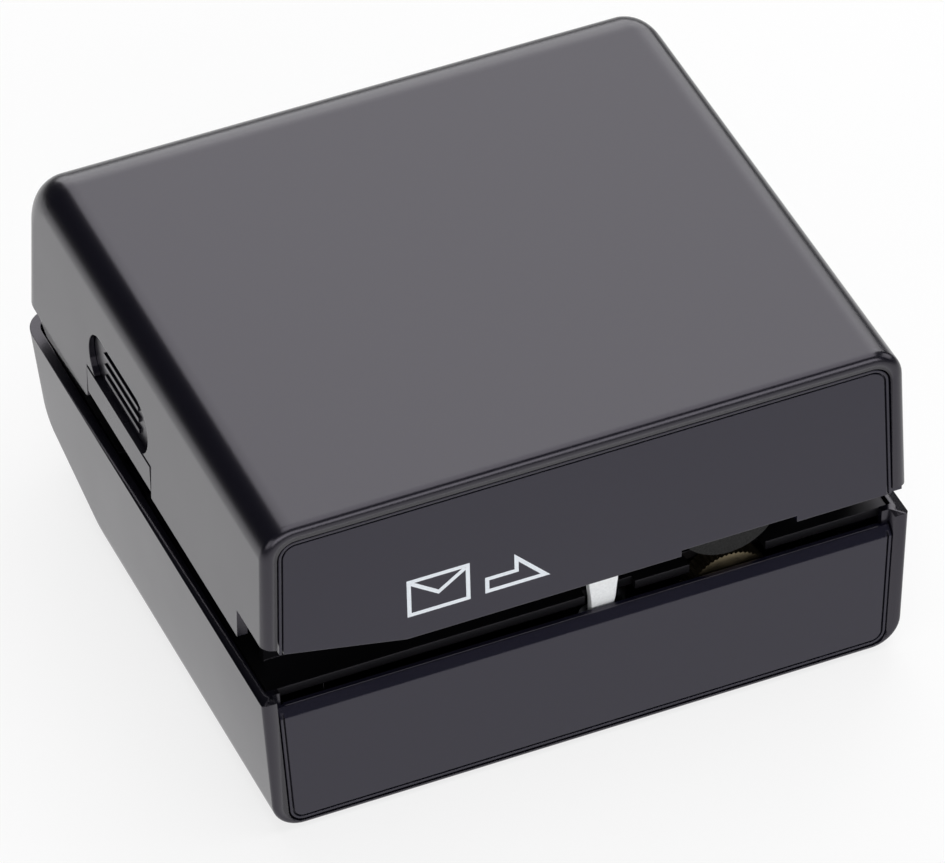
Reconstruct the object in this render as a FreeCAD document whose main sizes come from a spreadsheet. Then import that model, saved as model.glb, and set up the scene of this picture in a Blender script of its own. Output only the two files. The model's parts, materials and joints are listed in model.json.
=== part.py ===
import FreeCAD, Part
import Sketcher
import math
import os

# An electric letter opener: a low box in two halves. The base holds the cells and the letter channel
# with its feed wheel, cutter, gears and motor. The cover carries the pressure roller and swings open
# about a hinge in the gap along its right-hand side. Millimetres: +X to the right along the front,
# +Y to the back, +Z up. The origin is on the standing surface, under the middle of the body.

os.makedirs("parts", exist_ok=True)
doc = FreeCAD.newDocument("LetterOpener")

# ---------------------------------------------------------------------------------------------
# Driving dimensions, in millimetres and degrees
# ---------------------------------------------------------------------------------------------

SIZES = [
    # overall form
    ("body_width", 135.0, "across the base at its upper edge"),
    ("body_depth", 127.5, "front face to back edge"),
    ("foot_height", 1.0, "feet below the underside"),
    ("base_height", 32.6, "underside to the base's upper edge"),
    ("parting_gap", 7.4, "open band between base and cover"),
    ("cover_height", 34.5, "cover's lower edge to its top"),
    ("base_lean", 1.57, "each side of the base draws in towards the bottom"),
    ("cover_step", 0.44, "each side of the cover stands inside the base"),
    ("cover_lean", 1.1, "each side of the cover draws in towards the top"),
    ("cover_back_lean", 2.2, "cover's back draws in towards the top"),
    ("shell_wall", 2.2, "wall of both shells"),
    ("cover_back_round", 14.0, "cover's long back edge"),
    ("cover_side_round", 7.0, "cover's side edges"),
    ("base_side_round", 6.4, "base's side edges"),
    ("cover_rim_round", 1.8, "front edge of the cover"),
    ("base_rim_round", 0.8, "front edge of the base"),
    ("ramp_run", 30.0, "length of the sloping underside at the back"),
    ("ramp_rise", 9.2, "height of the sloping underside"),
    ("ramp_round", 20.0, "where the slope begins"),
    ("heel_in", 4.75, "back edge to the heel"),
    ("heel_round", 12.0, "heel"),
    # front panels
    ("rim_width", 3.0, "rim round a front panel"),
    ("base_rim_low", 0.9, "rim under the base's front panel"),
    ("panel_gap", 0.4, "gap round a front panel"),
    ("bead_width", 0.5, "bead round a front panel"),
    ("groove_width", 0.4, "groove inside the bead"),
    ("groove_depth", 0.8, "depth of the groove"),
    ("panel_thick", 2.4, "front panels"),
    ("panel_ear_inner", 8.0, "right side to the inside of the ear below the cover panel"),
    ("panel_ear_outer", 1.4, "right side to the outside of that ear"),
    ("panel_ear_gap", 0.3, "that ear to the cover's lower edge"),
    ("panel_set", 0.15, "front panels stand behind the rim"),
    ("ledge_thick", 1.5, "ledge that a front panel seats on"),
    ("ledge_width", 1.2, "ledge's reach behind a panel"),
    # letter channel
    ("channel_depth", 12.95, "front face to the fence"),
    ("slot_height", 6.2, "base's upper edge to the cover panel's lower edge"),
    ("funnel_run", 30.0, "left side to the end of the funnel"),
    ("funnel_rise", 6.5, "how much the funnel opens"),
    ("mouth_height", 12.6, "side mouth above the base's upper edge"),
    ("mouth_slope", 2.6, "rise of the side mouth's upper edge"),
    ("window_left_gap", 0.6, "pressure roller to the window's left edge"),
    ("window_right_gap", 1.7, "pressure roller to the window's right edge"),
    ("window_rise", 1.5, "roller window above the panel's lower edge"),
    ("skirt_front", 35.75, "back edge to the front of the left wall's skirt"),
    ("skirt_low", 13.75, "back edge to the lowest point of the skirt"),
    ("skirt_rear", 8.75, "back edge to the rear of the skirt"),
    ("skirt_drop", 2.6, "skirt below the cover's lower edge"),
    ("deck_thick", 2.0, "channel floor"),
    ("deck_drop", 0.6, "channel floor below the base's upper edge"),
    ("deck_front_gap", 4.45, "front face to the floor's front edge"),
    ("lip_drop", 3.0, "base panel's lip below the base's upper edge"),
    ("lip_bevel", 1.6, "bevel in front of the lip"),
    ("lip_depth", 3.0, "front face to the back of the lip"),
    ("lip_height", 2.0, "lip's bead"),
    ("lip_inset", 0.6, "ledge to the ends of the lip's bead"),
    ("collar_height", 12.4, "collar and fence above the base's upper edge"),
    ("collar_wall", 2.0, "collar and fence"),
    ("fence_past", 4.0, "fence to the left of the collar"),
    ("latch_travel", 3.8, "room behind the latch leg"),
    ("feed_slot_half", 8.0, "slot for the feed wheel, half width"),
    ("wheel_gap", 0.5, "behind the feed wheel and the lever"),
    ("collar_left", 9.5, "left side to the collar"),
    ("collar_right", 5.2, "right side to the collar"),
    ("collar_back", 5.0, "back edge to the collar"),
    ("deck_back", 3.2, "back edge to the channel floor's back edge"),
    ("deck_round", 5.0, "back corners of the channel floor"),
    ("post_radius", 3.0, "screw posts"),
    ("post_bore", 1.3, "screw holes in the posts and their screws"),
    ("post_bore_depth", 9.0, "screw holes in the posts"),
    ("post_inset", 8.0, "collar's left side to the left posts"),
    ("post_front", 4.8, "fence to the front posts"),
    ("post_rear", 10.75, "collar's back to the rear posts"),
    ("post_beside", 10.0, "mechanism plates to the post beside the lever"),
    ("post_behind", 13.0, "motor to the post behind it"),
    ("rest_inset", 2.3, "collar's right side to the post under the deck's front corner"),
    ("rest_front", 3.2, "fence to the post under the deck's front corner"),
    ("deck_hole", 1.5, "screw holes in the channel floor"),
    ("deck_screw_head", 2.6, "deck screws' heads"),
    # hinge
    ("hinge_in", 2.5, "right side to the hinge axis"),
    ("hinge_up", 3.7, "hinge axis above the base's upper edge"),
    ("knuckle_radius", 2.2, "hinge knuckles"),
    ("leaf_reach", 1.6, "hinge axis to the outside of the leaves"),
    ("cover_leaf", 3.0, "cover's leaves above its lower edge"),
    ("base_leaf", 4.0, "base's leaves below its upper edge"),
    ("knuckle_width", 8.0, "cover's knuckle"),
    ("base_knuckle", 5.0, "each of the base's knuckles"),
    ("hinge_pin_radius", 1.0, "hinge pins"),
    ("hinge_front_y", -14.0, "middle of the front hinge"),
    ("hinge_rear_y", 38.0, "middle of the rear hinge"),
    ("running_gap", 0.05, "radial clearance of a shaft in its hole"),
    ("side_gap", 0.4, "gap beside pieces that move"),
    # release tab
    ("tab_y", 10.1, "middle of the release tab"),
    ("tab_up", 20.6, "middle of the finger recess above the base's upper edge"),
    ("recess_length", 31.0, "finger recess"),
    ("recess_height", 12.5, "finger recess"),
    ("recess_depth", 1.5, "finger recess"),
    ("tongue_width", 33.0, "tongue below the recess"),
    ("tongue_rise", 1.4, "tongue above the cover's lower edge"),
    ("tab_plate", 1.2, "tab's inner plate"),
    ("tab_wall_gap", 1.0, "left wall's inner face to the tab's plate"),
    ("tab_ear_gap", 1.6, "side of the tab's plate to the cover's ears"),
    ("tab_ear_thick", 2.0, "cover's ears for the tab"),
    ("tab_ear_half", 2.2, "cover's ears for the tab, half height"),
    ("grip_rib_pitch", 2.8, "grip ribs in the recess"),
    ("grip_rib_half", 9.0, "grip ribs, half length"),
    ("grip_rib_high", 0.5, "grip ribs above the recess floor"),
    ("tab_pivot_rise", 8.6, "tab's trunnions above the middle of the recess"),
    ("trunnion_radius", 1.1, "tab's trunnions"),
    ("tab_face_rise", 2.0, "height above the tab's lower edge where its face meets the leaning wall"),
    ("band_lap", 0.6, "tab's band behind the recess's lower edge"),
    ("barb_reach", 0.1, "latch leg's barb past the tab's plate"),
    ("barb_height", 1.0, "latch leg's barb"),
    ("leg_width", 13.0, "latch leg"),
    ("leg_thick", 1.6, "latch leg"),
    ("leg_drop", 4.0, "latch leg below the base's upper edge"),
    ("catch_depth", 0.9, "catch on the base's left wall"),
    ("catch_drop", 1.1, "catch below the base's upper edge"),
    ("catch_height", 1.7, "catch on the base's left wall"),
    # feed wheel, cutter and gears
    ("train_gap", 0.66, "collar to the widest piece of the gear train"),
    ("feed_radius", 9.0, "feed wheel"),
    ("wheel_width", 4.0, "feed wheel and pressure roller"),
    ("wheel_front_gap", 3.75, "front face to the feed wheel"),
    ("feed_proud", 0.4, "feed wheel above the channel floor"),
    ("cutter_proud", 1.6, "cutter above the channel floor"),
    ("cutter_width", 1.5, "cutter"),
    ("shaft_radius", 1.5, "feed, cutter, idler and roller shafts"),
    ("shaft_nose", 0.6, "shafts in front of their wheels"),
    ("shaft_collar", 1.0, "collars on the feed and cutter shafts"),
    ("collar_step", 1.0, "collars round the feed and cutter shafts"),
    ("gear_module", 0.8, "all gears"),
    ("gear_width", 4.0, "all gears"),
    ("tooth_backlash", 0.3, "each tooth is thinner by this"),
    ("pinion_teeth", 10, "motor pinion"),
    ("cutter_teeth", 24, "cutter gear"),
    ("idler_large_teeth", 36, "idler gear, large rim"),
    ("idler_small_teeth", 12, "idler gear, small rim"),
    ("idler_hub_wall", 1.6, "idler gear's hub"),
    ("feed_teeth", 32, "feed gear"),
    ("bush_radius", 2.8, "shaft bushes"),
    ("plate_thick", 2.0, "mechanism plates"),
    ("plate_margin", 16.0, "feed shaft to the plates' left edge"),
    ("plate_above", 12.0, "motor shaft to the plates' upper edge"),
    ("plate_round", 4.0, "upper corners of the mechanism plates"),
    ("toe_inset", 4.0, "plates' right edge to their toes"),
    ("toe_length", 7.0, "toes of the mechanism plates"),
    ("toe_width", 18.0, "toes of the mechanism plates"),
    ("toe_thick", 1.6, "toes of the mechanism plates"),
    ("spacer_radius", 2.5, "rods between the mechanism plates"),
    ("spacer_inset", 3.5, "sides of the plates to the rods"),
    ("spacer_low", 4.8, "lower and upper edges of the plates to the rods"),
    ("spacer_mid", 8.8, "lower edge of the plates to the right-hand rod above the toes"),
    ("motor_radius", 10.2, "motor can"),
    ("motor_length", 30.0, "motor can"),
    ("motor_shaft_radius", 1.0, "motor shaft"),
    ("motor_screw_circle", 7.0, "motor screws from the shaft"),
    ("motor_screw", 1.0, "motor screws"),
    ("motor_screw_head", 2.0, "motor screws' heads"),
    ("bolt_gap", 0.1, "round the motor screws"),
    ("motor_screw_depth", 3.0, "motor screws in the motor's face"),
    ("motor_shaft_in", 7.0, "motor shaft inside the can"),
    ("motor_cap", 1.6, "motor's end cap"),
    ("motor_cap_step", 0.7, "can to the rim of its end cap"),
    ("terminal_length", 4.0, "motor terminals"),
    ("terminal_half", 0.9, "motor terminals, half width"),
    ("terminal_side", 6.0, "motor's axis to its terminals"),
    ("motor_nose", 3.0, "hole for the motor's nose in the rear plate"),
    ("motor_tail", 4.0, "motor's end to the edge of the mechanism opening"),
    ("opening_margin", 1.5, "mechanism plates to the left edge of their opening"),
    # pressure roller
    ("roller_radius", 11.0, "pressure roller"),
    ("roller_hub_radius", 6.0, "roller's hub"),
    ("axle_head", 0.6, "head of the roller's axle"),
    ("axle_head_step", 1.2, "head round the roller's axle"),
    ("roller_gap", 0.4, "pressure roller above the feed wheel"),
    ("arm_gap", 0.7, "pressure roller to its arm"),
    ("arm_thick", 1.8, "roller arm"),
    ("arm_half", 3.6, "roller arm's half width"),
    ("arm_reach", 24.0, "roller axle to the arm's pivot"),
    ("arm_rise", 7.2, "arm's pivot above the roller axle"),
    ("spring_reach", 12.5, "roller axle to the pressure spring"),
    ("pad_rim", 0.9, "spring to the rim of its seat"),
    ("pad_past", 1.6, "spring's seat in front of and behind the arm"),
    ("pad_thick", 2.0, "spring's seat"),
    ("spring_seat_rise", 9.4, "spring's lower seat above the roller axle"),
    ("spring_radius", 2.6, "pressure spring"),
    ("spring_wire", 0.35, "pressure spring's wire"),
    ("boss_height", 4.0, "screw bosses under the cover's ceiling"),
    ("bracket_thick", 1.6, "roller bracket"),
    ("bracket_reach", 9.0, "spring to the bracket's left end"),
    ("bracket_ear_half", 4.1, "bracket's ears, half width"),
    ("bracket_screw", 1.0, "bracket screws"),
    ("bracket_screw_head", 1.9, "bracket screws' heads"),
    ("bracket_screw_left", 5.8, "spring to the bracket's left screw"),
    ("bracket_screw_right", 5.0, "spring to the bracket's right screw"),
    # start lever and switch
    ("lever_x", 3.5, "lever's pivot"),
    ("lever_drop", 9.6, "lever's pivot below the base's upper edge"),
    ("lever_front_gap", 3.55, "front face to the lever"),
    ("lever_thick", 2.0, "lever"),
    ("lever_half", 1.5, "lever's tail"),
    ("lever_hub", 2.8, "lever's hub"),
    ("lever_hub_past", 1.0, "lever's hub behind the lever"),
    ("lever_tail", 2.5, "plunger's axis to the end of the lever's tail"),
    ("lever_shoulder", 3.5, "lever's pivot to its right edge at the deck"),
    ("lever_top_right", 4.9, "lever's pivot to its upper right corner"),
    ("lever_top_left", 2.6, "lever's pivot to its upper left corner"),
    ("lever_rise", 2.7, "lever's top above the cover panel's lower edge"),
    ("lever_spring_room", 0.75, "lever's pin to the middle of its spring's wire"),
    ("lever_spring_wire", 0.25, "lever spring's wire"),
    ("lever_pin_radius", 1.0, "lever's pin"),
    ("lever_pin_head", 1.8, "lever's pin"),
    ("lever_ear_gap", 4.6, "lever to the ear that holds its pin"),
    ("lever_ear_thick", 2.2, "ear that holds the lever's pin"),
    ("lever_ear_half", 3.5, "ear that holds the lever's pin, half width"),
    ("lever_ear_low", 3.0, "lever's pivot to the bottom of the ear"),
    ("lever_slot_left", 2.5, "lever's pivot to the left end of its slot"),
    ("lever_slot_right", 8.0, "lever's pivot to the right end of its slot"),
    ("switch_drop", 6.5, "switch plunger below the lever's pivot"),
    ("switch_gap", 0.5, "lever's tail to the plunger"),
    ("switch_reach", 4.0, "lever's tail to the switch"),
    ("switch_length", 11.5, "switch along X"),
    ("switch_depth", 6.2, "switch along Y"),
    ("switch_half", 3.4, "switch, half height"),
    ("plunger_radius", 1.0, "switch plunger"),
    ("plunger_in", 2.9, "plunger inside the switch"),
    ("switch_leg", 0.8, "switch's terminal"),
    ("switch_leg_depth", 2.0, "switch's terminal"),
    ("switch_leg_drop", 4.0, "switch's terminal below the switch"),
    ("switch_boss", 3.8, "boss under the switch, along Y"),
    ("boss_inset", 1.5, "ends of the switch to the boss under it"),
    ("plunger_behind", 1.2, "lever's front to the plunger's axis"),
    # cells and feet
    ("cell_radius", 7.25, "AA cell"),
    ("cell_length", 50.5, "AA cell with its nub"),
    ("cell_nub_radius", 2.7, "AA cell's nub"),
    ("cell_nub", 1.0, "AA cell's nub"),
    ("cell_spring_radius", 3.0, "cell springs"),
    ("cell_spring_wire", 0.45, "cell springs"),
    ("cell_gap", 1.1, "between neighbouring cells"),
    ("cell_room", 0.3, "round the row of cells"),
    ("cell_spring", 4.6, "cell spring when loaded"),
    ("contact_thick", 0.4, "contact plates"),
    ("contact_half", 6.5, "contact plates, half width"),
    ("tray_gap", 0.5, "rear mechanism plate to the cell tray"),
    ("bay_wall", 1.8, "cell tray"),
    ("lid_thick", 2.1, "cell lid"),
    ("lid_step", 1.05, "underside to the lid's flange"),
    ("lid_rail", 0.7, "side of the bay to the rail that holds the lid"),
    ("lid_flange", 1.9, "side of the bay to the lid's outer skin, so that its flange rides on the rails"),
    ("lid_setback", 1.7, "front of the bay to the lid"),
    ("lid_behind", 5.5, "start of the slope to the lid's back edge"),
    ("grip_start", 6.0, "lid's front edge to its first grip groove"),
    ("grip_pitch", 3.0, "lid's grip grooves"),
    ("grip_width", 1.2, "lid's grip grooves"),
    ("grip_half", 8.0, "lid's grip grooves, half length"),
    ("grip_deep", 0.5, "lid's grip grooves"),
    ("foot_radius", 5.0, "feet"),
    ("foot_x", 50.0, "feet"),
    ("foot_front_y", -46.0, "front feet"),
    ("foot_rear_y", 20.0, "rear feet"),
    ("foot_sink", 0.6, "feet let into the underside"),
]

sheet = doc.addObject("Spreadsheet::Sheet", "Sizes")
for row, (word, value, note) in enumerate(SIZES, 1):
    sheet.set("A%d" % row, word)
    sheet.set("B%d" % row, str(value))
    sheet.set("C%d" % row, note)
    sheet.setAlias("B%d" % row, word)
doc.recompute()


class Dim:
    """A length that knows its value and the expression that gives it from the sheet."""

    def __init__(self, text, value):
        self.text = text
        self.value = value

    def __float__(self):
        return float(self.value)

    def __add__(self, other):
        return Dim("(%s + %s)" % (self.text, text_of(other)), self.value + float(other))

    def __radd__(self, other):
        return self + other

    def __sub__(self, other):
        return Dim("(%s - %s)" % (self.text, text_of(other)), self.value - float(other))

    def __rsub__(self, other):
        return -self + other

    def __mul__(self, other):
        return Dim("(%s * %s)" % (self.text, text_of(other)), self.value * float(other))

    def __rmul__(self, other):
        return self * other

    def __truediv__(self, other):
        return Dim("(%s / %s)" % (self.text, text_of(other)), self.value / float(other))

    def __neg__(self):
        return Dim("(-1 * %s)" % self.text, -self.value)


def text_of(number):
    return number.text if isinstance(number, Dim) else "%.6f" % number


def larger(first, second):
    """The larger of two lengths, as the sheet works it out too."""
    text = "max(%s; %s)" % (text_of(first), text_of(second))
    return Dim(text, max(float(first), float(second)))


class Named:
    """Gives each size in the sheet as a Dim."""

    def __getattr__(self, word):
        return Dim("Sizes." + word, float(sheet.get(word)))


S = Named()

# ---------------------------------------------------------------------------------------------
# Building blocks whose sizes and places follow the sheet
# ---------------------------------------------------------------------------------------------

PAST = 1.0  # how far a cutting tool runs past the face that it opens
SINK = 0.4  # how far a piece runs into the one that it is fused to
FIT = 0.2  # two pieces that are assembled side by side
NEAR = 0.01  # two places closer than this are the same
parts = []


def bind(thing, path, amount):
    thing.setExpression(path, text_of(amount))


def place(thing, x, y, z, turn=FreeCAD.Rotation()):
    thing.Placement = FreeCAD.Placement(FreeCAD.Vector(float(x), float(y), float(z)), turn)
    bind(thing, "Placement.Base.x", x)
    bind(thing, "Placement.Base.y", y)
    bind(thing, "Placement.Base.z", z)
    return thing


def box(name, x0, x1, y0, y1, z0, z1):
    """A box between two corners."""
    made = doc.addObject("Part::Box", name)
    bind(made, "Length", x1 - x0)
    bind(made, "Width", y1 - y0)
    bind(made, "Height", z1 - z0)
    return place(made, x0, y0, z0)


ALONG = {
    "X": FreeCAD.Rotation(FreeCAD.Vector(0, 1, 0), 90),
    "Y": FreeCAD.Rotation(FreeCAD.Vector(1, 0, 0), -90),
    "Z": FreeCAD.Rotation(),
}


def rod(name, axis, radius, start, end, a, b):
    """A cylinder along an axis from start to end; a and b place it on the other two axes."""
    made = doc.addObject("Part::Cylinder", name)
    bind(made, "Radius", radius)
    bind(made, "Height", end - start)
    spot = {"X": (start, a, b), "Y": (a, start, b), "Z": (a, b, start)}[axis]
    return place(made, *spot, turn=ALONG[axis])


def fuse(name, *pieces):
    made = doc.addObject("Part::MultiFuse", name)
    made.Shapes = list(pieces)
    made.Refine = True
    return made


def cut(name, base, *tools):
    made = doc.addObject("Part::Cut", name)
    made.Base = base
    made.Tool = tools[0] if len(tools) == 1 else fuse(name + "Tools", *tools)
    made.Refine = True
    return made


def common(name, first, second):
    made = doc.addObject("Part::MultiCommon", name)
    made.Shapes = [first, second]
    made.Refine = True
    return made


def group(name, pieces):
    """Several separate solids that share one node."""
    made = doc.addObject("Part::Compound", name)
    made.Links = list(pieces)
    return made


def part(label, thing):
    """Marks an object as a finished sub-part and gives it its node name."""
    thing.Label = label
    parts.append(thing)
    return thing


def tube(name, axis, outer, inner, start, end, a, b):
    solid = rod(name + "Outer", axis, outer, start, end, a, b)
    return cut(name, solid, rod(name + "Bore", axis, inner, start - PAST, end + PAST, a, b))


def prism(name, plane, corners, start, end):
    """A sketched outline on one of the body's origin planes, padded from start to end."""
    body = doc.addObject("PartDesign::Body", name)
    sketch = body.newObject("Sketcher::SketchObject", name + "Outline")
    origin_plane = [feature for feature in body.Origin.OriginFeatures if feature.Role == plane][0]
    sketch.AttachmentSupport = [(origin_plane, "")]
    sketch.MapMode = "FlatFace"
    towards = -1 if plane == "XZ_Plane" else 1
    bind(sketch, "AttachmentOffset.Base.z", start * towards)
    points = [FreeCAD.Vector(float(across), float(up), 0) for across, up in corners]
    count = len(points)
    for i in range(count):
        sketch.addGeometry(Part.LineSegment(points[i], points[(i + 1) % count]))
    for i in range(count):
        sketch.addConstraint(Sketcher.Constraint("Coincident", i, 2, (i + 1) % count, 1))
    for i, corner in enumerate(corners):
        for kind, letter, amount in zip(("DistanceX", "DistanceY"), "xy", corner):
            place_by = Sketcher.Constraint(kind, -1, 1, i, 1, float(amount))
            at = sketch.addConstraint(place_by)
            sketch.renameConstraint(at, "%s%d" % (letter, i))
            bind(sketch, "Constraints.%s%d" % (letter, i), amount)
    pad = body.newObject("PartDesign::Pad", name + "Pad")
    pad.Profile = sketch
    bind(pad, "Length", end - start)
    pad.Reversed = plane == "XZ_Plane"
    body.Tip = pad
    return body


def near(a, b):
    return abs(float(a) - float(b)) < NEAR


def flat_at(edge, axis, level):
    """True when the whole edge lies at one level."""
    low = getattr(edge.BoundBox, axis + "Min")
    high = getattr(edge.BoundBox, axis + "Max")
    return near(low, level) and near(high, level)


def runs_along(edge, axis):
    """True when the edge is a straight one along that axis."""
    spans = {letter: getattr(edge.BoundBox, letter + "Length") for letter in "XYZ"}
    return spans[axis] > NEAR and all(spans[letter] < NEAR for letter in "XYZ" if letter != axis)


def edge_points(edge):
    middle = edge.valueAt((edge.FirstParameter + edge.LastParameter) / 2)
    return [vertex.Point for vertex in edge.Vertexes] + [middle]


def rounded(name, base, radius, test):
    """Fillets the edges that pass the test."""
    doc.recompute()
    found = [i for i, edge in enumerate(base.Shape.Edges, 1) if test(edge)]
    made = doc.addObject("Part::Fillet", name)
    made.Base = base
    made.Edges = [(i, float(radius), float(radius)) for i in found]
    doc.recompute()
    return made

# ---------------------------------------------------------------------------------------------
# Planes and places that several pieces share
# ---------------------------------------------------------------------------------------------

half_width = S.body_width / 2
front = -1 * (S.body_depth / 2)
back = S.body_depth / 2
base_low = S.foot_height
base_top = base_low + S.base_height
cover_low = base_top + S.parting_gap
cover_top = cover_low + S.cover_height
ceiling = cover_top - S.shell_wall
slot_top = base_top + S.slot_height
panel_face = front + S.panel_set
panel_back = panel_face + S.panel_thick
ring_back = panel_back + S.ledge_thick
fence_face = front + S.channel_depth
fence_back = fence_face + S.collar_wall
deck_top = base_top - S.deck_drop
deck_low = deck_top - S.deck_thick
deck_front = front + S.deck_front_gap
floor_top = base_low + S.shell_wall
ridge_inset = S.rim_width + S.panel_gap
groove_inset = ridge_inset + S.bead_width
face_inset = groove_inset + S.groove_width
ledge_inset = ridge_inset + S.ledge_width
hinge_x = half_width - S.hinge_in
hinge_z = base_top + S.hinge_up
FAR = 200.0  # half the span of a tool that cuts right across the body


def base_half(z):
    return half_width - S.base_lean * (base_top - z) / S.base_height


def cover_half(z):
    return half_width - S.cover_step - S.cover_lean * (z - cover_low) / S.cover_height


def side_plane(half_at, inset):
    """A test for edges that lie in a side wall's plane."""

    def test(edge):
        return all(near(abs(spot.x), half_at(spot.z) - inset) for spot in edge_points(edge))

    return test


def leaning_block(name, profile, half_at, z0, z1, inset):
    """A side profile drawn in the YZ plane, cut to the lean of the two sides."""
    across = prism(name + "Profile", "YZ_Plane", profile, -FAR, FAR)
    sides = [
        (inset - half_at(z0), z0),
        (half_at(z0) - inset, z0),
        (half_at(z1) - inset, z1),
        (inset - half_at(z1), z1),
    ]
    return common(name, across, prism(name + "Sides", "XZ_Plane", sides, -FAR, FAR))


def cover_block(name, inset, y0, low):
    """The cover's outer form, or its inside when inset by the wall."""
    top = cover_top - inset
    foot = back - S.cover_step - inset
    head = foot - S.cover_back_lean
    block = leaning_block(
        name, [(y0, low), (foot, low), (head, top), (y0, top)], cover_half, low, top, inset
    )
    eased = rounded(
        name + "Back",
        block,
        S.cover_back_round - inset,
        lambda edge: flat_at(edge, "Z", top) and flat_at(edge, "Y", head),
    )
    side = side_plane(cover_half, inset)
    return rounded(
        name + "Soft",
        eased,
        S.cover_side_round - inset,
        lambda edge: side(edge) and not flat_at(edge, "Z", low) and not flat_at(edge, "Y", y0),
    )


# how far an inset outline moves in and up at the heel, for each millimetre of inset
HEEL_IN = 0.862
HEEL_UP = 0.782
SLOPE_LAG = 0.15


def base_block(name, inset, y0, top):
    """The base's outer form, or its inside when inset by the wall."""
    heel_y = back - S.heel_in - inset * HEEL_IN
    heel_z = base_low + S.ramp_rise + inset * HEEL_UP
    ramp_y = back - S.heel_in - S.ramp_run - inset * SLOPE_LAG
    low = base_low + inset
    outline = [(y0, low), (ramp_y, low), (heel_y, heel_z), (back - inset, base_top)]
    if not near(top, base_top):
        outline.append((back - inset, top))
    outline.append((y0, top))
    block = leaning_block(name, outline, base_half, low, top, inset)
    eased = rounded(
        name + "Heel",
        block,
        S.heel_round - inset,
        lambda edge: flat_at(edge, "Z", heel_z) and flat_at(edge, "Y", heel_y),
    )
    eased = rounded(
        name + "Ramp",
        eased,
        S.ramp_round - inset,
        lambda edge: flat_at(edge, "Z", low) and flat_at(edge, "Y", ramp_y),
    )
    side = side_plane(base_half, inset)

    def outer_side(edge):
        above = all(spot.z > float(base_top) - NEAR for spot in edge_points(edge))
        return side(edge) and not above and not flat_at(edge, "Y", y0)

    return rounded(name + "Soft", eased, S.base_side_round - inset, outer_side)


def front_block(name, half_at, z0, z1, inset, y0, y1, corner, corner_z):
    """A block that follows the sides' lean, with its two corners at one level rounded."""
    outline = [
        (inset - half_at(z0), z0),
        (half_at(z0) - inset, z0),
        (half_at(z1) - inset, z1),
        (inset - half_at(z1), z1),
    ]
    block = prism(name, "XZ_Plane", outline, y0, y1)
    return rounded(
        name + "Soft", block, corner, lambda edge: flat_at(edge, "Z", corner_z) and runs_along(edge, "Y")
    )


# ---------------------------------------------------------------------------------------------
# Places of the mechanism
# ---------------------------------------------------------------------------------------------


TIP_SHARE = 0.8  # tooth tip above the pitch circle, in modules
ROOT_SHARE = 1.2  # tooth root below the pitch circle, in modules
PRESSURE_ANGLE = 20.0


def mesh_distance(first, second):
    return S.gear_module * (first + second) / 2



collar_x0 = S.collar_left - half_width
collar_x1 = half_width - S.collar_right
collar_y1 = back - S.collar_back
collar_top = base_top + S.collar_height
collar_inner = collar_x1 - S.collar_wall

# The gear train stands against the right side of the collar; the feed shaft follows from it.
cutter_gear_tip = S.gear_module * S.cutter_teeth / 2 + TIP_SHARE * S.gear_module
motor_x = collar_inner - S.train_gap - larger(S.motor_radius, cutter_gear_tip)
feed_x = motor_x - mesh_distance(S.pinion_teeth, S.idler_large_teeth)
feed_z = deck_top + S.feed_proud - S.feed_radius
idler_x = feed_x
idler_z = feed_z + mesh_distance(S.idler_small_teeth, S.feed_teeth)
motor_z = idler_z
cutter_x = motor_x
cutter_z = motor_z - mesh_distance(S.pinion_teeth, S.cutter_teeth)
cutter_radius = deck_top + S.cutter_proud - cutter_z
cutter_y = fence_face - S.cutter_width - S.side_gap

front_plate_y = fence_back + FIT
front_plate_back = front_plate_y + S.plate_thick
first_plane = front_plate_back + S.side_gap
second_plane = first_plane + S.gear_width + S.side_gap
third_plane = second_plane + S.gear_width + S.side_gap
rear_plate_y = third_plane + S.gear_width + S.side_gap
rear_plate_back = rear_plate_y + S.plate_thick
motor_back = rear_plate_back + S.motor_length
plate_left = feed_x - S.plate_margin
plate_right = motor_x + S.motor_radius + FIT
plate_top = motor_z + S.plate_above

roller_z = deck_top + S.feed_proud + S.roller_gap + S.roller_radius
wheel_y = front + S.wheel_front_gap
wheel_back = wheel_y + S.wheel_width
arm_y = wheel_back + S.arm_gap
arm_back = arm_y + S.arm_thick
arm_middle = arm_y + S.arm_thick / 2
arm_pivot_x = feed_x + S.arm_reach
arm_pivot_z = roller_z + S.arm_rise
spring_x = feed_x + S.spring_reach
spring_low = roller_z + S.spring_seat_rise
boss_low = ceiling - S.boss_height
bracket_screws = [(spring_x - S.bracket_screw_left, arm_middle), (spring_x + S.bracket_screw_right, arm_middle)]

lever_z = base_top - S.lever_drop
lever_y = front + S.lever_front_gap
lever_back = lever_y + S.lever_thick
switch_z = lever_z - S.switch_drop
switch_right = S.lever_x - S.lever_half - S.switch_reach
plunger_y = lever_y + S.plunger_behind

cell_pitch = 2 * S.cell_radius + S.cell_gap
bay_half = cell_pitch * 2 + S.cell_room
bay_front = rear_plate_back + S.tray_gap + S.bay_wall
bay_back = bay_front + 2 * S.contact_thick + S.cell_spring + S.cell_length
cell_y = bay_front + S.contact_thick + S.cell_spring
cell_z = floor_top + S.cell_room + S.cell_radius
bay_top = cell_z + S.cell_radius + S.cell_room
lid_half = bay_half - S.lid_flange
lid_front = bay_front + S.lid_setback

deck_half = base_half(deck_low) - S.shell_wall - S.side_gap
opening_left = plate_left - S.opening_margin
opening_back = motor_back + S.motor_tail

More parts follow.
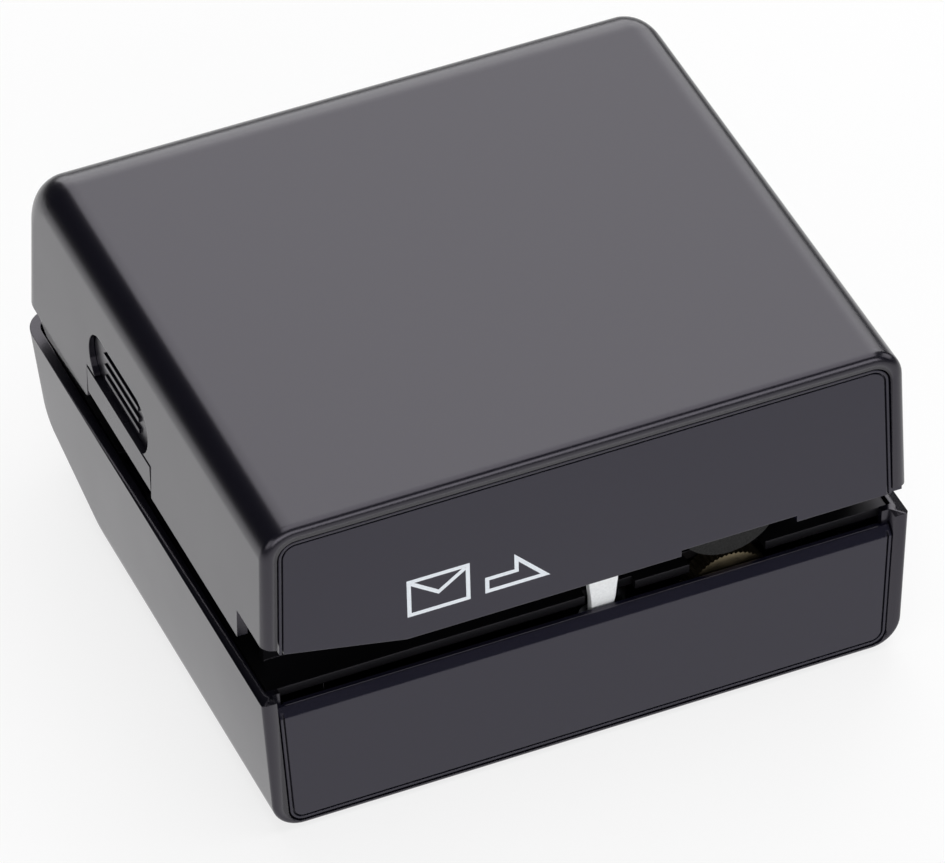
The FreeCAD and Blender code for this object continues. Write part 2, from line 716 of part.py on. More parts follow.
# Screw posts for the deck: all inside the collar, clear of the cell tray and the mechanism.
post_left = collar_x0 + S.post_inset
post_front = fence_back + S.post_front
post_rear = collar_y1 - S.post_rear
post_places = [
    (post_left, post_front),
    (plate_left - S.post_beside, post_front),
    (post_left, (post_front + post_rear) / 2),
    (motor_x, motor_back + S.post_behind),
    (post_left, post_rear),
    (motor_x, post_rear),
]
rest_place = (collar_x1 - S.rest_inset, fence_face - S.rest_front)

# ---------------------------------------------------------------------------------------------
# Cover: shell, front panel and release tab
# ---------------------------------------------------------------------------------------------

tab_low = cover_low + S.tongue_rise
recess_z = base_top + S.tab_up
tab_pivot_z = recess_z + S.tab_pivot_rise
wall_x = S.shell_wall - cover_half(recess_z)  # left wall's inner face
plate_x = wall_x + S.tab_wall_gap
tab_pivot_x = plate_x + S.tab_plate / 2
tab_half = S.tongue_width / 2
WALL_CUT = 8.0  # how deep a tool reaches in from the left side


def stadium(name, x0, x1, length, height):
    """A slot-shaped block through the left wall, round the middle of the recess."""
    run = (length - height) / 2
    low, high = recess_z - height / 2, recess_z + height / 2
    middle = box(name + "Middle", x0, x1, S.tab_y - run, S.tab_y + run, low, high)
    ends = [rod(name + "End", "X", height / 2, x0, x1, S.tab_y + side * run, recess_z) for side in (-1, 1)]
    return fuse(name, middle, *ends)


def hinge_places():
    return [("front", S.hinge_front_y), ("rear", S.hinge_rear_y)]


def knuckle(name, y0, y1, far_z):
    """A hinge barrel with the leaf that joins it to its shell at far_z."""
    barrel = rod(name + "Barrel", "Y", S.knuckle_radius, y0, y1, hinge_x, hinge_z)
    low, high = (hinge_z, far_z) if float(far_z) > float(hinge_z) else (far_z, hinge_z)
    leaf = box(name + "Leaf", hinge_x - S.knuckle_radius, hinge_x + S.leaf_reach, y0, y1, low, high)
    return fuse(name, barrel, leaf)


def hinge_bore(name, middle, radius):
    reach = S.knuckle_width / 2 + S.side_gap + S.base_knuckle + PAST
    return rod(name, "Y", radius, middle - reach, middle + reach, hinge_x, hinge_z)


cover_form = cover_block("CoverForm", 0.0, front, cover_low)
cover_form = rounded(
    "CoverRim",
    cover_form,
    S.cover_rim_round,
    lambda edge: flat_at(edge, "Y", front) and not flat_at(edge, "Z", cover_low),
)
cover_inside = cover_block("CoverInside", S.shell_wall, ring_back, cover_low - PAST)
cover_pocket = front_block(
    "CoverPocket", cover_half, cover_low - PAST, cover_top - S.rim_width, S.rim_width,
    front - PAST, panel_back, S.cover_side_round - S.rim_width, cover_top - S.rim_width,
)
cover_ring = front_block(
    "CoverRing", cover_half, cover_low - PAST, cover_top - ledge_inset, ledge_inset,
    front - PAST, ring_back + PAST, S.cover_side_round - ledge_inset, cover_top - ledge_inset,
)
mouth_z = base_top + S.mouth_height
mouth_end = ledge_inset - cover_half(cover_low) + SINK
MOUTH_RUN = 3.0  # how far the mouth's sloping tool runs out past the left side
mouth = prism(
    "Mouth",
    "XZ_Plane",
    [
        (-half_width - MOUTH_RUN, mouth_z + S.mouth_slope),
        (mouth_end, mouth_z),
        (mouth_end, base_top),
        (-half_width - MOUTH_RUN, base_top),
    ],
    front - PAST,
    fence_face,
)
tongue_notch = box(
    "TongueNotch", -half_width - PAST, -half_width + WALL_CUT, S.tab_y - tab_half - S.side_gap,
    S.tab_y + tab_half + S.side_gap, cover_low - PAST, recess_z - S.recess_height / 2 + PAST,
)
recess_hole = stadium(
    "RecessHole", -half_width - PAST, -half_width + WALL_CUT, S.recess_length, S.recess_height
)
hollow = cut(
    "CoverHollow", cover_form, cover_inside, cover_pocket, cover_ring, mouth, tongue_notch, recess_hole
)

ears = []
for side in (-1, 1):
    near_y = S.tab_y + side * (tab_half + S.tab_ear_gap)
    far_y = near_y + side * S.tab_ear_thick
    y0, y1 = (near_y, far_y) if side > 0 else (far_y, near_y)
    ear = box(
        "TabEar", wall_x - SINK, tab_pivot_x + S.tab_ear_half, y0, y1,
        tab_pivot_z - S.tab_ear_half, tab_pivot_z + S.tab_ear_half,
    )
    ear_bore = S.trunnion_radius + S.running_gap
    hole = rod("TabEarHole", "Y", ear_bore, y0 - PAST, y1 + PAST, tab_pivot_x, tab_pivot_z)
    ears.append(cut("TabEarBored", ear, hole))

bosses = []
for x, y in bracket_screws:
    boss = rod("CoverBoss", "Z", S.post_radius, boss_low, ceiling + SINK, x, y)
    bore = rod("BossBore", "Z", S.bracket_screw, boss_low - PAST, ceiling - SINK, x, y)
    bosses.append(cut("CoverBossBored", boss, bore))

cover_knuckles = []
for name, middle in hinge_places():
    half_knuckle = S.knuckle_width / 2
    leaf = knuckle("CoverKnuckle", middle - half_knuckle, middle + half_knuckle, cover_low + S.cover_leaf)
    bore = hinge_bore("CoverKnuckleBore", middle, S.hinge_pin_radius + S.running_gap)
    cover_knuckles.append(cut("CoverKnuckleBored", leaf, bore))

# The left wall hangs a little lower towards the back.
skirt = prism(
    "Skirt",
    "YZ_Plane",
    [
        (back - S.skirt_front, cover_low + SINK),
        (back - S.skirt_front, cover_low - S.skirt_drop / 3),
        (back - S.skirt_low, cover_low - S.skirt_drop),
        (back - S.skirt_rear, cover_low + SINK),
    ],
    FIT - cover_half(cover_low),
    S.shell_wall - cover_half(cover_low),
)
part("cover_shell", fuse("CoverShell", hollow, skirt, *ears, *bosses, *cover_knuckles))

# The panel hangs below the shell; its lower edge rises towards the left to funnel letters in.
panel_top = cover_top - ridge_inset
panel_form = front_block(
    "CoverPanelForm", cover_half, slot_top, panel_top, ridge_inset, panel_face, panel_back,
    S.cover_side_round - ridge_inset, panel_top,
)
funnel = prism(
    "Funnel",
    "XZ_Plane",
    [
        (S.funnel_run - half_width, slot_top),
        (-half_width, slot_top + S.funnel_rise),
        (-half_width, slot_top - PAST),
        (S.funnel_run - half_width, slot_top - PAST),
    ],
    front - PAST,
    ring_back,
)
roller_window = box(
    "RollerWindow", feed_x - S.roller_radius - S.window_left_gap, feed_x + S.roller_radius + S.window_right_gap,
    front - PAST, ring_back, slot_top - PAST, slot_top + S.window_rise,
)
cover_groove = cut(
    "CoverGroove",
    front_block(
        "CoverGrooveOut", cover_half, slot_top - PAST, cover_top - groove_inset, groove_inset,
        front, panel_face + S.groove_depth, S.cover_side_round - groove_inset, cover_top - groove_inset,
    ),
    front_block(
        "CoverGrooveIn", cover_half, slot_top - PAST - PAST, cover_top - face_inset, face_inset,
        front - PAST, panel_back, S.cover_side_round - face_inset, cover_top - face_inset,
    ),
)
panel_ear = box(
    "PanelEar", half_width - S.panel_ear_inner, half_width - S.panel_ear_outer, panel_face + SINK,
    panel_back - SINK, slot_top, cover_low - S.panel_ear_gap,
)
panel_cut = cut("CoverPanelCut", panel_form, funnel, roller_window, cover_groove)
part("cover_front_panel", fuse("CoverPanel", panel_cut, cut("PanelEarCut", panel_ear, cover_groove)))

# The tab's outer faces lie in the recess and in the tongue's notch of the left wall.
outer_x = -1 * cover_half(tab_low + S.tab_face_rise)
band_top = recess_z - S.recess_height / 2 + S.band_lap
floor_gap = 2 * S.side_gap
tab_y0, tab_y1 = S.tab_y - tab_half, S.tab_y + tab_half
leg_y0, leg_y1 = S.tab_y - S.leg_width / 2, S.tab_y + S.leg_width / 2
leg_low = base_top - S.leg_drop
leg_x = plate_x + FIT
trunnion_reach = S.tab_ear_gap + S.tab_ear_thick
tab_pieces = [
    box("TabPlate", plate_x, plate_x + S.tab_plate, tab_y0, tab_y1, tab_low, tab_pivot_z + S.trunnion_radius),
    stadium(
        "TabFloor", outer_x + S.recess_depth, plate_x + SINK,
        S.recess_length - floor_gap, S.recess_height - floor_gap,
    ),
    box("TabBand", outer_x, plate_x + SINK, tab_y0, tab_y1, tab_low, band_top),
    box("LatchLeg", leg_x, leg_x + S.leg_thick, leg_y0, leg_y1, leg_low, tab_low + PAST),
    box("LatchBarb", plate_x - S.barb_reach, plate_x + PAST, leg_y0, leg_y1, leg_low, leg_low + S.barb_height),
    rod(
        "Trunnions", "Y", S.trunnion_radius, tab_y0 - trunnion_reach, tab_y1 + trunnion_reach,
        tab_pivot_x, tab_pivot_z,
    ),
]
for row in (-1, 0, 1):
    rib_z = recess_z + row * S.grip_rib_pitch
    tab_pieces.append(box(
        "TabRib", outer_x + S.recess_depth - S.grip_rib_high, plate_x, S.tab_y - S.grip_rib_half,
        S.tab_y + S.grip_rib_half, rib_z - S.grip_rib_high, rib_z + S.grip_rib_high,
    ))
part("release_tab", fuse("ReleaseTab", *tab_pieces))

# ---------------------------------------------------------------------------------------------
# Base: shell, front panel, feet
# ---------------------------------------------------------------------------------------------

base_form = base_block("BaseForm", 0.0, front, base_top)
base_form = rounded(
    "BaseRim",
    base_form,
    S.base_rim_round,
    lambda edge: flat_at(edge, "Y", front) and not flat_at(edge, "Z", base_top),
)
base_inside = base_block("BaseInside", S.shell_wall, ring_back, base_top + PAST)
pocket_low = base_low + S.base_rim_low
base_pocket = front_block(
    "BasePocket", base_half, pocket_low, base_top + PAST, S.rim_width,
    front - PAST, panel_back, S.base_side_round - S.rim_width, pocket_low,
)
ring_low = pocket_low + S.panel_gap + S.ledge_width
base_ring = front_block(
    "BaseRing", base_half, ring_low, base_top + PAST, ledge_inset,
    front - PAST, ring_back + PAST, S.base_side_round - ledge_inset, ring_low,
)
lid_step = base_low + S.lid_step
lid_room = lid_half + FIT
flange_half = bay_half - S.lid_rail
lid_narrow = box("LidNarrow", -lid_room, lid_room, lid_front - SINK, FAR, base_low - PAST, lid_step)
lid_wide = box("LidWide", -flange_half, flange_half, lid_front - SINK, FAR, lid_step - NEAR, floor_top)


def foot_places():
    return [(x, y) for y in (S.foot_front_y, S.foot_rear_y) for x in (-1 * S.foot_x, S.foot_x)]


foot_sinks = [
    rod("FootSink", "Z", S.foot_radius, base_low - PAST, base_low + S.foot_sink, x, y) for x, y in foot_places()
]
base_hollow = cut("BaseHollow", base_form, base_inside, base_pocket, base_ring, lid_narrow, lid_wide, *foot_sinks)

posts = []
post_low = floor_top - S.shell_wall / 2
for x, y in post_places:
    post = rod("Post", "Z", S.post_radius, post_low, deck_low, x, y)
    bore = rod("PostBore", "Z", S.post_bore, deck_low - S.post_bore_depth, deck_low + PAST, x, y)
    posts.append(common("PostTrimmed", cut("PostBored", post, bore), base_form))
posts.append(rod("RestPost", "Z", S.post_radius, post_low, deck_low, *rest_place))

base_knuckles = []
for name, middle in hinge_places():
    inner = S.knuckle_width / 2 + S.side_gap
    for y0, y1 in (
        (middle - inner - S.base_knuckle, middle - inner),
        (middle + inner, middle + inner + S.base_knuckle),
    ):
        leaf = knuckle("BaseKnuckle", y0, y1, base_top - S.base_leaf)
        bore = hinge_bore("BaseKnuckleBore", middle, S.hinge_pin_radius + S.running_gap)
        base_knuckles.append(cut("BaseKnuckleBored", leaf, bore))

catch_top = base_top - S.catch_drop
catch_x = S.shell_wall - base_half(catch_top)
catch = box(
    "Catch", catch_x - SINK, catch_x + S.catch_depth, leg_y0, leg_y1, catch_top - S.catch_height, catch_top
)
switch_left = switch_right - S.switch_length
switch_boss = box(
    "SwitchBoss", switch_left + S.boss_inset, switch_right - S.boss_inset, plunger_y, plunger_y + S.switch_boss,
    floor_top - SINK, switch_z - S.switch_half,
)
part("base_shell", fuse("BaseShell", base_hollow, catch, switch_boss, *posts, *base_knuckles))

lip_top = base_top - S.lip_drop
base_panel_low = pocket_low + S.panel_gap
base_panel_form = front_block(
    "BasePanelForm", base_half, base_panel_low, lip_top, ridge_inset, panel_face, panel_back,
    S.base_side_round - ridge_inset, base_panel_low,
)
lip_half = half_width - ledge_inset - S.lip_inset
lip_bead = box(
    "LipBead", -lip_half, lip_half, panel_back - SINK, front + S.lip_depth, lip_top - S.lip_height, lip_top
)
bevel = prism(
    "LipBevel",
    "YZ_Plane",
    [
        (panel_face - PAST, lip_top - S.lip_bevel - PAST),
        (panel_face + S.lip_bevel + PAST, lip_top + PAST),
        (panel_face - PAST, lip_top + PAST),
    ],
    -FAR,
    FAR,
)
groove_low = base_panel_low + S.bead_width
base_groove = cut(
    "BaseGroove",
    front_block(
        "BaseGrooveOut", base_half, groove_low, base_top, groove_inset, front,
        panel_face + S.groove_depth, S.base_side_round - groove_inset, groove_low,
    ),
    front_block(
        "BaseGrooveIn", base_half, groove_low + S.groove_width, base_top + PAST, face_inset, front - PAST,
        panel_back, S.base_side_round - face_inset, groove_low + S.groove_width,
    ),
)
panel_blank = fuse("BasePanelBlank", base_panel_form, lip_bead)
part("base_front_panel", cut("BasePanel", panel_blank, bevel, base_groove))

for (x, y), label in zip(foot_places(), ("front_left", "front_right", "rear_left", "rear_right")):
    part("foot_" + label, rod("Foot", "Z", S.foot_radius, 0.0, base_low + S.foot_sink, x, y))

# ---------------------------------------------------------------------------------------------
# Letter deck: channel floor, fence and collar in one moulding
# ---------------------------------------------------------------------------------------------

deck_rear = back - S.deck_back
deck_plate = rounded(
    "DeckPlate",
    box("DeckBlank", -deck_half, deck_half, deck_front, deck_rear, deck_low, deck_top),
    S.deck_round,
    lambda edge: flat_at(edge, "Y", deck_rear) and runs_along(edge, "Z"),
)


def collar(name, x0, x1, y0, y1):
    """One wall of the collar, from the deck's underside to the collar's top."""
    return box(name, x0, x1, y0, y1, deck_low, collar_top)


collar_walls = [
    collar("Fence", collar_x0 - S.fence_past, collar_x1, fence_face, fence_back),
    collar("CollarLeft", collar_x0, collar_x0 + S.collar_wall, fence_face, collar_y1),
    collar("CollarRight", collar_inner, collar_x1, fence_face, collar_y1),
    collar("CollarRear", collar_x0, collar_x1, collar_y1 - S.collar_wall, collar_y1),
]
ear_front = lever_back + S.lever_ear_gap
ear_back = ear_front + S.lever_ear_thick
lever_ear = box(
    "LeverEar", S.lever_x - S.lever_ear_half, S.lever_x + S.lever_ear_half, ear_front, ear_back,
    lever_z - S.lever_ear_low, deck_low + SINK,
)
latch_x = plate_x + S.leg_thick + S.latch_travel
latch_gap = 1.5 * S.side_gap
cutter_room = cutter_radius + latch_gap
deck_pierced = (deck_low - PAST, deck_top + PAST)
deck_tools = [
    box("MechanismOpening", opening_left, collar_inner, fence_back, opening_back, *deck_pierced),
    box(
        "FeedSlot", feed_x - S.feed_slot_half, feed_x + S.feed_slot_half, deck_front - PAST,
        wheel_back + S.wheel_gap, *deck_pierced,
    ),
    box(
        "CutterSlot", cutter_x - cutter_room, cutter_x + cutter_room, cutter_y - S.wheel_gap, fence_face,
        *deck_pierced,
    ),
    box(
        "LeverSlot", S.lever_x - S.lever_slot_left, S.lever_x + S.lever_slot_right, deck_front - PAST,
        lever_back + S.wheel_gap, *deck_pierced,
    ),
    box("LatchSlot", -half_width, latch_x, leg_y0 - latch_gap, leg_y1 + latch_gap, *deck_pierced),
    rod("LeverPinSeat", "Y", S.lever_pin_radius, lever_back, ear_back + PAST, S.lever_x, lever_z),
]
for x, y in post_places:
    deck_tools.append(rod("DeckHole", "Z", S.deck_hole, *deck_pierced, x, y))
for name, middle in hinge_places():
    reach = S.knuckle_width / 2 + S.side_gap + S.base_knuckle + S.side_gap
    notch_x = hinge_x - S.knuckle_radius - S.side_gap
    deck_tools.append(box("HingeNotch", notch_x, half_width, middle - reach, middle + reach, *deck_pierced))
deck_solid = fuse("DeckSolid", deck_plate, lever_ear, *collar_walls)
part("letter_deck", cut("LetterDeck", deck_solid, *deck_tools))


HEAD_SHARE = 0.6  # height of a screw's head, in head radii


def screws(label, places, head_z, up, head_radius, shank_radius, shank):
    """Screws along Z. The head stands above head_z, or below it when the screw points up."""
    made = []
    thick = head_radius * HEAD_SHARE
    for x, y in places:
        if up:
            head = rod("ScrewHead", "Z", head_radius, head_z - thick, head_z, x, y)
            stem = rod("ScrewShank", "Z", shank_radius, head_z - FIT, head_z + shank, x, y)
        else:
            head = rod("ScrewHead", "Z", head_radius, head_z, head_z + thick, x, y)
            stem = rod("ScrewShank", "Z", shank_radius, head_z - shank, head_z + FIT, x, y)
        made.append(fuse("Screw", head, stem))
    return part(label, group("Screws", made))


deck_shank = S.deck_thick + S.post_bore_depth - PAST
screws("deck_screws", post_places, deck_top, False, S.deck_screw_head, S.post_bore, deck_shank)

for name, middle in hinge_places():
    reach = S.knuckle_width / 2 + S.side_gap + S.base_knuckle
    pin = rod("HingePin", "Y", S.hinge_pin_radius, middle - reach, middle + reach, hinge_x, hinge_z)
    part("hinge_pin_" + name, pin)

# ---------------------------------------------------------------------------------------------
# Mechanism: plates, bushes, gears, wheels and motor
# ---------------------------------------------------------------------------------------------


def plate(name, y0, toes_forward, *holes):
    """A bent mechanism plate that stands on the floor on one toe."""
    y1 = y0 + S.plate_thick
    upright = box(name + "Sheet", plate_left, plate_right, y0, y1, floor_top, plate_top)
    eased = rounded(
        name + "Eased", upright, S.plate_round, lambda edge: flat_at(edge, "Z", plate_top) and runs_along(edge, "Y")
    )
    toe_y = (y0 - S.toe_length, y0) if toes_forward else (y1, y1 + S.toe_length)
    toe_x = plate_right - S.toe_inset
    toe = box(name + "Toe", toe_x - S.toe_width, toe_x, *toe_y, floor_top, floor_top + S.toe_thick)
    drills = [rod(name + "Hole", "Y", radius, y0 - PAST, y1 + PAST, x, z) for radius, x, z in holes]
    return cut(name, fuse(name + "Bent", eased, toe), *drills)


shaft_holes = [
    (S.bush_radius, feed_x, feed_z),
    (S.bush_radius, cutter_x, cutter_z),
    (S.shaft_radius, idler_x, idler_z),
]
part("mechanism_front_plate", plate("FrontPlate", front_plate_y, True, *shaft_holes))
screw_spots = [(motor_x - S.motor_screw_circle, motor_z), (motor_x + S.motor_screw_circle, motor_z)]
motor_holes = [(S.motor_nose, motor_x, motor_z)]
motor_holes += [(S.motor_screw + S.bolt_gap, x, z) for x, z in screw_spots]
part("mechanism_rear_plate", plate("RearPlate", rear_plate_y, False, *shaft_holes, *motor_holes))

spacer_places = [
    (plate_left + S.spacer_inset, floor_top + S.spacer_low),
    (plate_right - S.spacer_inset, floor_top + S.spacer_mid),
    (plate_right - S.spacer_inset, plate_top - S.spacer_low),
]
part("plate_spacers", group(
    "Spacers",
    [rod("Spacer", "Y", S.spacer_radius, front_plate_back, rear_plate_y, x, z) for x, z in spacer_places],
))

bush_bore = S.shaft_radius + S.running_gap
bushes = []
for x, z in ((feed_x, feed_z), (cutter_x, cutter_z)):
    for y0 in (front_plate_y, rear_plate_y):
        bushes.append(tube("Bush", "Y", S.bush_radius, bush_bore, y0, y0 + S.plate_thick, x, z))
part("shaft_bushes", group("Bushes", bushes))
part("idler_pin", rod("IdlerPin", "Y", S.shaft_radius, front_plate_y, rear_plate_back, idler_x, idler_z))


def ring_points(radii):
    """Points round the Y axis at even angles, one for each radius."""
    step = 2 * math.pi / len(radii)
    return [
        FreeCAD.Vector(radius * math.cos(i * step), 0, radius * math.sin(i * step))
        for i, radius in enumerate(radii)
    ]


def pressed_out(points, bore, width):
    """Extrudes a closed outline with a round bore along +Y."""
    rim = Part.makePolygon(points + points[:1])
    hole = Part.Wire([Part.makeCircle(bore, FreeCAD.Vector(), FreeCAD.Vector(0, 1, 0))])
    face = Part.Face([rim, hole])
    face.validate()
    return face.extrude(FreeCAD.Vector(0, width, 0))


def gear_points(teeth, tooth_at):
    """An involute outline with one tooth centred on the angle tooth_at, in degrees."""
    module = float(S.gear_module)
    pitch = module * teeth / 2
    ground = pitch * math.cos(math.radians(PRESSURE_ANGLE))
    tip = pitch + TIP_SHARE * module
    root = pitch - ROOT_SHARE * module

    def half_angle(radius):
        lean = math.acos(min(1.0, ground / max(radius, ground)))
        start = math.acos(ground / pitch)
        roll = (math.tan(start) - start) - (math.tan(lean) - lean)
        return math.pi / (2 * teeth) - float(S.tooth_backlash) / (2 * pitch) + roll

    flank = [root, max(root, ground) + 0.1, pitch, (pitch + tip) / 2, tip]
    points = []
    for i in range(teeth):
        middle = math.radians(tooth_at) + 2 * math.pi * i / teeth
        sides = [(radius, middle - half_angle(radius)) for radius in flank]
        sides += [(radius, middle + half_angle(radius)) for radius in reversed(flank)]
        points += [FreeCAD.Vector(radius * math.cos(a), 0, radius * math.sin(a)) for radius, a in sides]
    return points


def shaped(name, shape, x, y, z):
    made = doc.addObject("Part::Feature", name)
    made.Shape = shape
    return place(made, x, y, z)


def gear(name, teeth, tooth_at, bore, width, x, y, z):
    outline = gear_points(round(float(teeth)), tooth_at)
    return shaped(name, pressed_out(outline, float(bore), float(width)), x, y, z)


shaft_back = rear_plate_back + S.side_gap


def shaft_collar(name, x, z):
    """The collar that stops a shaft in front of the front plate."""
    y1 = front_plate_y - FIT
    return rod(name, "Y", S.shaft_radius + S.collar_step, y1 - S.shaft_collar, y1, x, z)


# A tooth of each driving rim points at a gap of the rim that it meshes with.
feed_gap = 180.0 / round(float(S.idler_small_teeth))
pinion_gap = 180.0 / round(float(S.pinion_teeth))
cutter_gap = 180.0 / round(float(S.cutter_teeth))

feed_shaft = fuse(
    "FeedShaft",
    rod("FeedShaftRod", "Y", S.shaft_radius, wheel_y - S.shaft_nose, shaft_back, feed_x, feed_z),
    shaft_collar("FeedShaftCollar", feed_x, feed_z),
)
part("feed_shaft", feed_shaft)
KNURLS = 56
KNURL_DEPTH = 0.35
knurl = [float(S.feed_radius) - KNURL_DEPTH * (i % 2) for i in range(2 * KNURLS)]
wheel = pressed_out(ring_points(knurl), float(S.shaft_radius), float(S.wheel_width))
part("feed_wheel", shaped("FeedWheel", wheel, feed_x, wheel_y, feed_z))
UP = 90.0  # degrees from +X towards +Z
part("feed_gear", gear("FeedGear", S.feed_teeth, UP, S.shaft_radius, S.gear_width, feed_x, third_plane, feed_z))

cutter_shaft = fuse(
    "CutterShaft",
    rod("CutterShaftRod", "Y", S.shaft_radius, cutter_y - S.shaft_nose, shaft_back, cutter_x, cutter_z),
    shaft_collar("CutterShaftCollar", cutter_x, cutter_z),
)
part("cutter_shaft", cutter_shaft)
CUTTER_TEETH = 20
SAW_DEPTH = 1.0
SAW_FORM = (0.0, 0.5, 1.0)  # each tooth falls off in steps of its depth
saw = [float(cutter_radius) - SAW_DEPTH * share for share in SAW_FORM * CUTTER_TEETH]
blade = pressed_out(ring_points(saw), float(S.shaft_radius), float(S.cutter_width))
part("cutter_wheel", shaped("CutterWheel", blade, cutter_x, cutter_y, cutter_z))
part("cutter_gear", gear(
    "CutterGear", S.cutter_teeth, UP + cutter_gap, S.shaft_radius, S.gear_width, cutter_x, first_plane, cutter_z
))

idler_bore = S.shaft_radius + S.running_gap
small_y = third_plane - S.side_gap - FIT
idler = fuse(
    "IdlerGear",
    gear("IdlerLarge", S.idler_large_teeth, 0.0, idler_bore, S.gear_width, idler_x, second_plane, idler_z),
    gear(
        "IdlerSmall", S.idler_small_teeth, -UP + feed_gap, idler_bore, third_plane + S.gear_width - small_y,
        idler_x, small_y, idler_z,
    ),
    tube(
        "IdlerHub", "Y", S.shaft_radius + S.idler_hub_wall, idler_bore, first_plane - FIT, second_plane + FIT,
        idler_x, idler_z,
    ),
)
part("idler_gear", idler)

pinion_length = third_plane - S.side_gap - first_plane
part("motor_pinion", gear(
    "MotorPinion", S.pinion_teeth, 2 * UP + pinion_gap, S.motor_shaft_radius, pinion_length,
    motor_x, first_plane, motor_z,
))


def on_motor_axis(name, radius, y0, y1):
    """A round piece or bore on the motor's axis."""
    return rod(name, "Y", radius, y0, y1, motor_x, motor_z)


shaft_end = rear_plate_back + S.motor_shaft_in
part("motor_shaft", on_motor_axis("MotorShaft", S.motor_shaft_radius, first_plane - FIT, shaft_end))
screw_end = rear_plate_back + S.motor_screw_depth
can = cut(
    "MotorCan",
    on_motor_axis("MotorCanRod", S.motor_radius, rear_plate_back, motor_back),
    on_motor_axis(
        "MotorBearing", S.motor_shaft_radius + S.running_gap, rear_plate_back - PAST, shaft_end + FIT
    ),
    *[rod("CanHole", "Y", S.motor_screw, rear_plate_back - PAST, screw_end, x, z) for x, z in screw_spots],
)
part("motor_can", can)
cap_back = motor_back + S.motor_cap
part("motor_end_cap", on_motor_axis("MotorEndCap", S.motor_radius - S.motor_cap_step, motor_back, cap_back))
terminals = []
for x in (motor_x - S.terminal_side, motor_x + S.terminal_side):
    terminals.append(box(
        "Terminal", x - S.terminal_half, x + S.terminal_half, cap_back, cap_back + S.terminal_length,
        motor_z - S.contact_thick / 2, motor_z + S.contact_thick / 2,
    ))
part("motor_terminals", group("MotorTerminals", terminals))
motor_screws = []
for x, z in screw_spots:
    head_y = rear_plate_y - S.motor_screw_head * HEAD_SHARE
    head = rod("MotorScrewHead", "Y", S.motor_screw_head, head_y, rear_plate_y, x, z)
    shank = rod("MotorScrewShank", "Y", S.motor_screw, rear_plate_y - FIT, screw_end, x, z)
    motor_screws.append(fuse("MotorScrew", head, shank))
part("motor_screws", group("MotorScrews", motor_screws))

# ---------------------------------------------------------------------------------------------
# Pressure roller, its arm and bracket, carried by the cover
# ---------------------------------------------------------------------------------------------

axle_bore = S.shaft_radius + S.running_gap
tyre = tube("RollerTyre", "Y", S.roller_radius, S.roller_hub_radius, wheel_y, wheel_back, feed_x, roller_z)
part("roller_tyre", tyre)
hub = tube("RollerHub", "Y", S.roller_hub_radius, axle_bore, wheel_y, wheel_back + FIT, feed_x, roller_z)
part("roller_hub", hub)
axle_head = wheel_y - FIT
axle = fuse(
    "RollerAxle",
    rod("RollerAxleRod", "Y", S.shaft_radius, axle_head - FIT, arm_back, feed_x, roller_z),
    rod(
        "RollerAxleHead", "Y", S.shaft_radius + S.axle_head_step, axle_head - S.axle_head, axle_head,
        feed_x, roller_z,
    ),
)
part("roller_axle", axle)

arm_web = prism(
    "ArmWeb",
    "XZ_Plane",
    [
        (feed_x, roller_z - S.arm_half), (arm_pivot_x, arm_pivot_z - S.arm_half),
        (arm_pivot_x, arm_pivot_z + S.arm_half), (feed_x, roller_z + S.arm_half),
    ],
    arm_y,
    arm_back,
)
pad_half = S.spring_radius + S.pad_rim
arm = cut(
    "RollerArm",
    fuse(
        "ArmBlank", arm_web,
        rod("ArmNose", "Y", S.arm_half, arm_y, arm_back, feed_x, roller_z),
        rod("ArmRoot", "Y", S.arm_half, arm_y, arm_back, arm_pivot_x, arm_pivot_z),
        box(
            "SpringPad", spring_x - pad_half, spring_x + pad_half, arm_y - S.pad_past, arm_back + S.pad_past,
            spring_low - S.pad_thick, spring_low,
        ),
    ),
    rod("ArmAxleHole", "Y", S.shaft_radius, arm_y - PAST, arm_back + PAST, feed_x, roller_z),
    rod("ArmPivotHole", "Y", axle_bore, arm_y - PAST, arm_back + PAST, arm_pivot_x, arm_pivot_z),
)
part("roller_arm", arm)

ear_out = S.side_gap + S.bracket_thick
bracket_low = boss_low - S.bracket_thick
bracket_left = spring_x - S.bracket_reach
bracket_right = arm_pivot_x + S.bracket_ear_half
bracket_pieces = [
    box(
        "BracketPlate", bracket_left, bracket_right, arm_y - ear_out - SINK, arm_back + ear_out,
        bracket_low, boss_low,
    )
]
for y0, y1 in ((arm_y - ear_out, arm_y - S.side_gap), (arm_back + S.side_gap, arm_back + ear_out)):
    bracket_pieces.append(box(
        "BracketEar", arm_pivot_x - S.bracket_ear_half, bracket_right, y0, y1,
        arm_pivot_z - S.bracket_ear_half, bracket_low + SINK,
    ))
pin_y0, pin_y1 = arm_y - ear_out - FIT, arm_back + ear_out + FIT
bracket_tools = [
    rod("BracketPinHole", "Y", S.shaft_radius, pin_y0 - PAST, pin_y1 + PAST, arm_pivot_x, arm_pivot_z)
]
bracket_tools += [
    rod("BracketHole", "Z", S.bracket_screw + FIT, bracket_low - PAST, boss_low + PAST, x, y)
    for x, y in bracket_screws
]
part("roller_bracket", cut("RollerBracket", fuse("BracketBlank", *bracket_pieces), *bracket_tools))
part("roller_pivot_pin", rod("RollerPivotPin", "Y", S.shaft_radius, pin_y0, pin_y1, arm_pivot_x, arm_pivot_z))
bracket_shank = S.bracket_thick + S.boss_height - PAST
screws(
    "bracket_screws", bracket_screws, bracket_low, True, S.bracket_screw_head, S.bracket_screw, bracket_shank
)


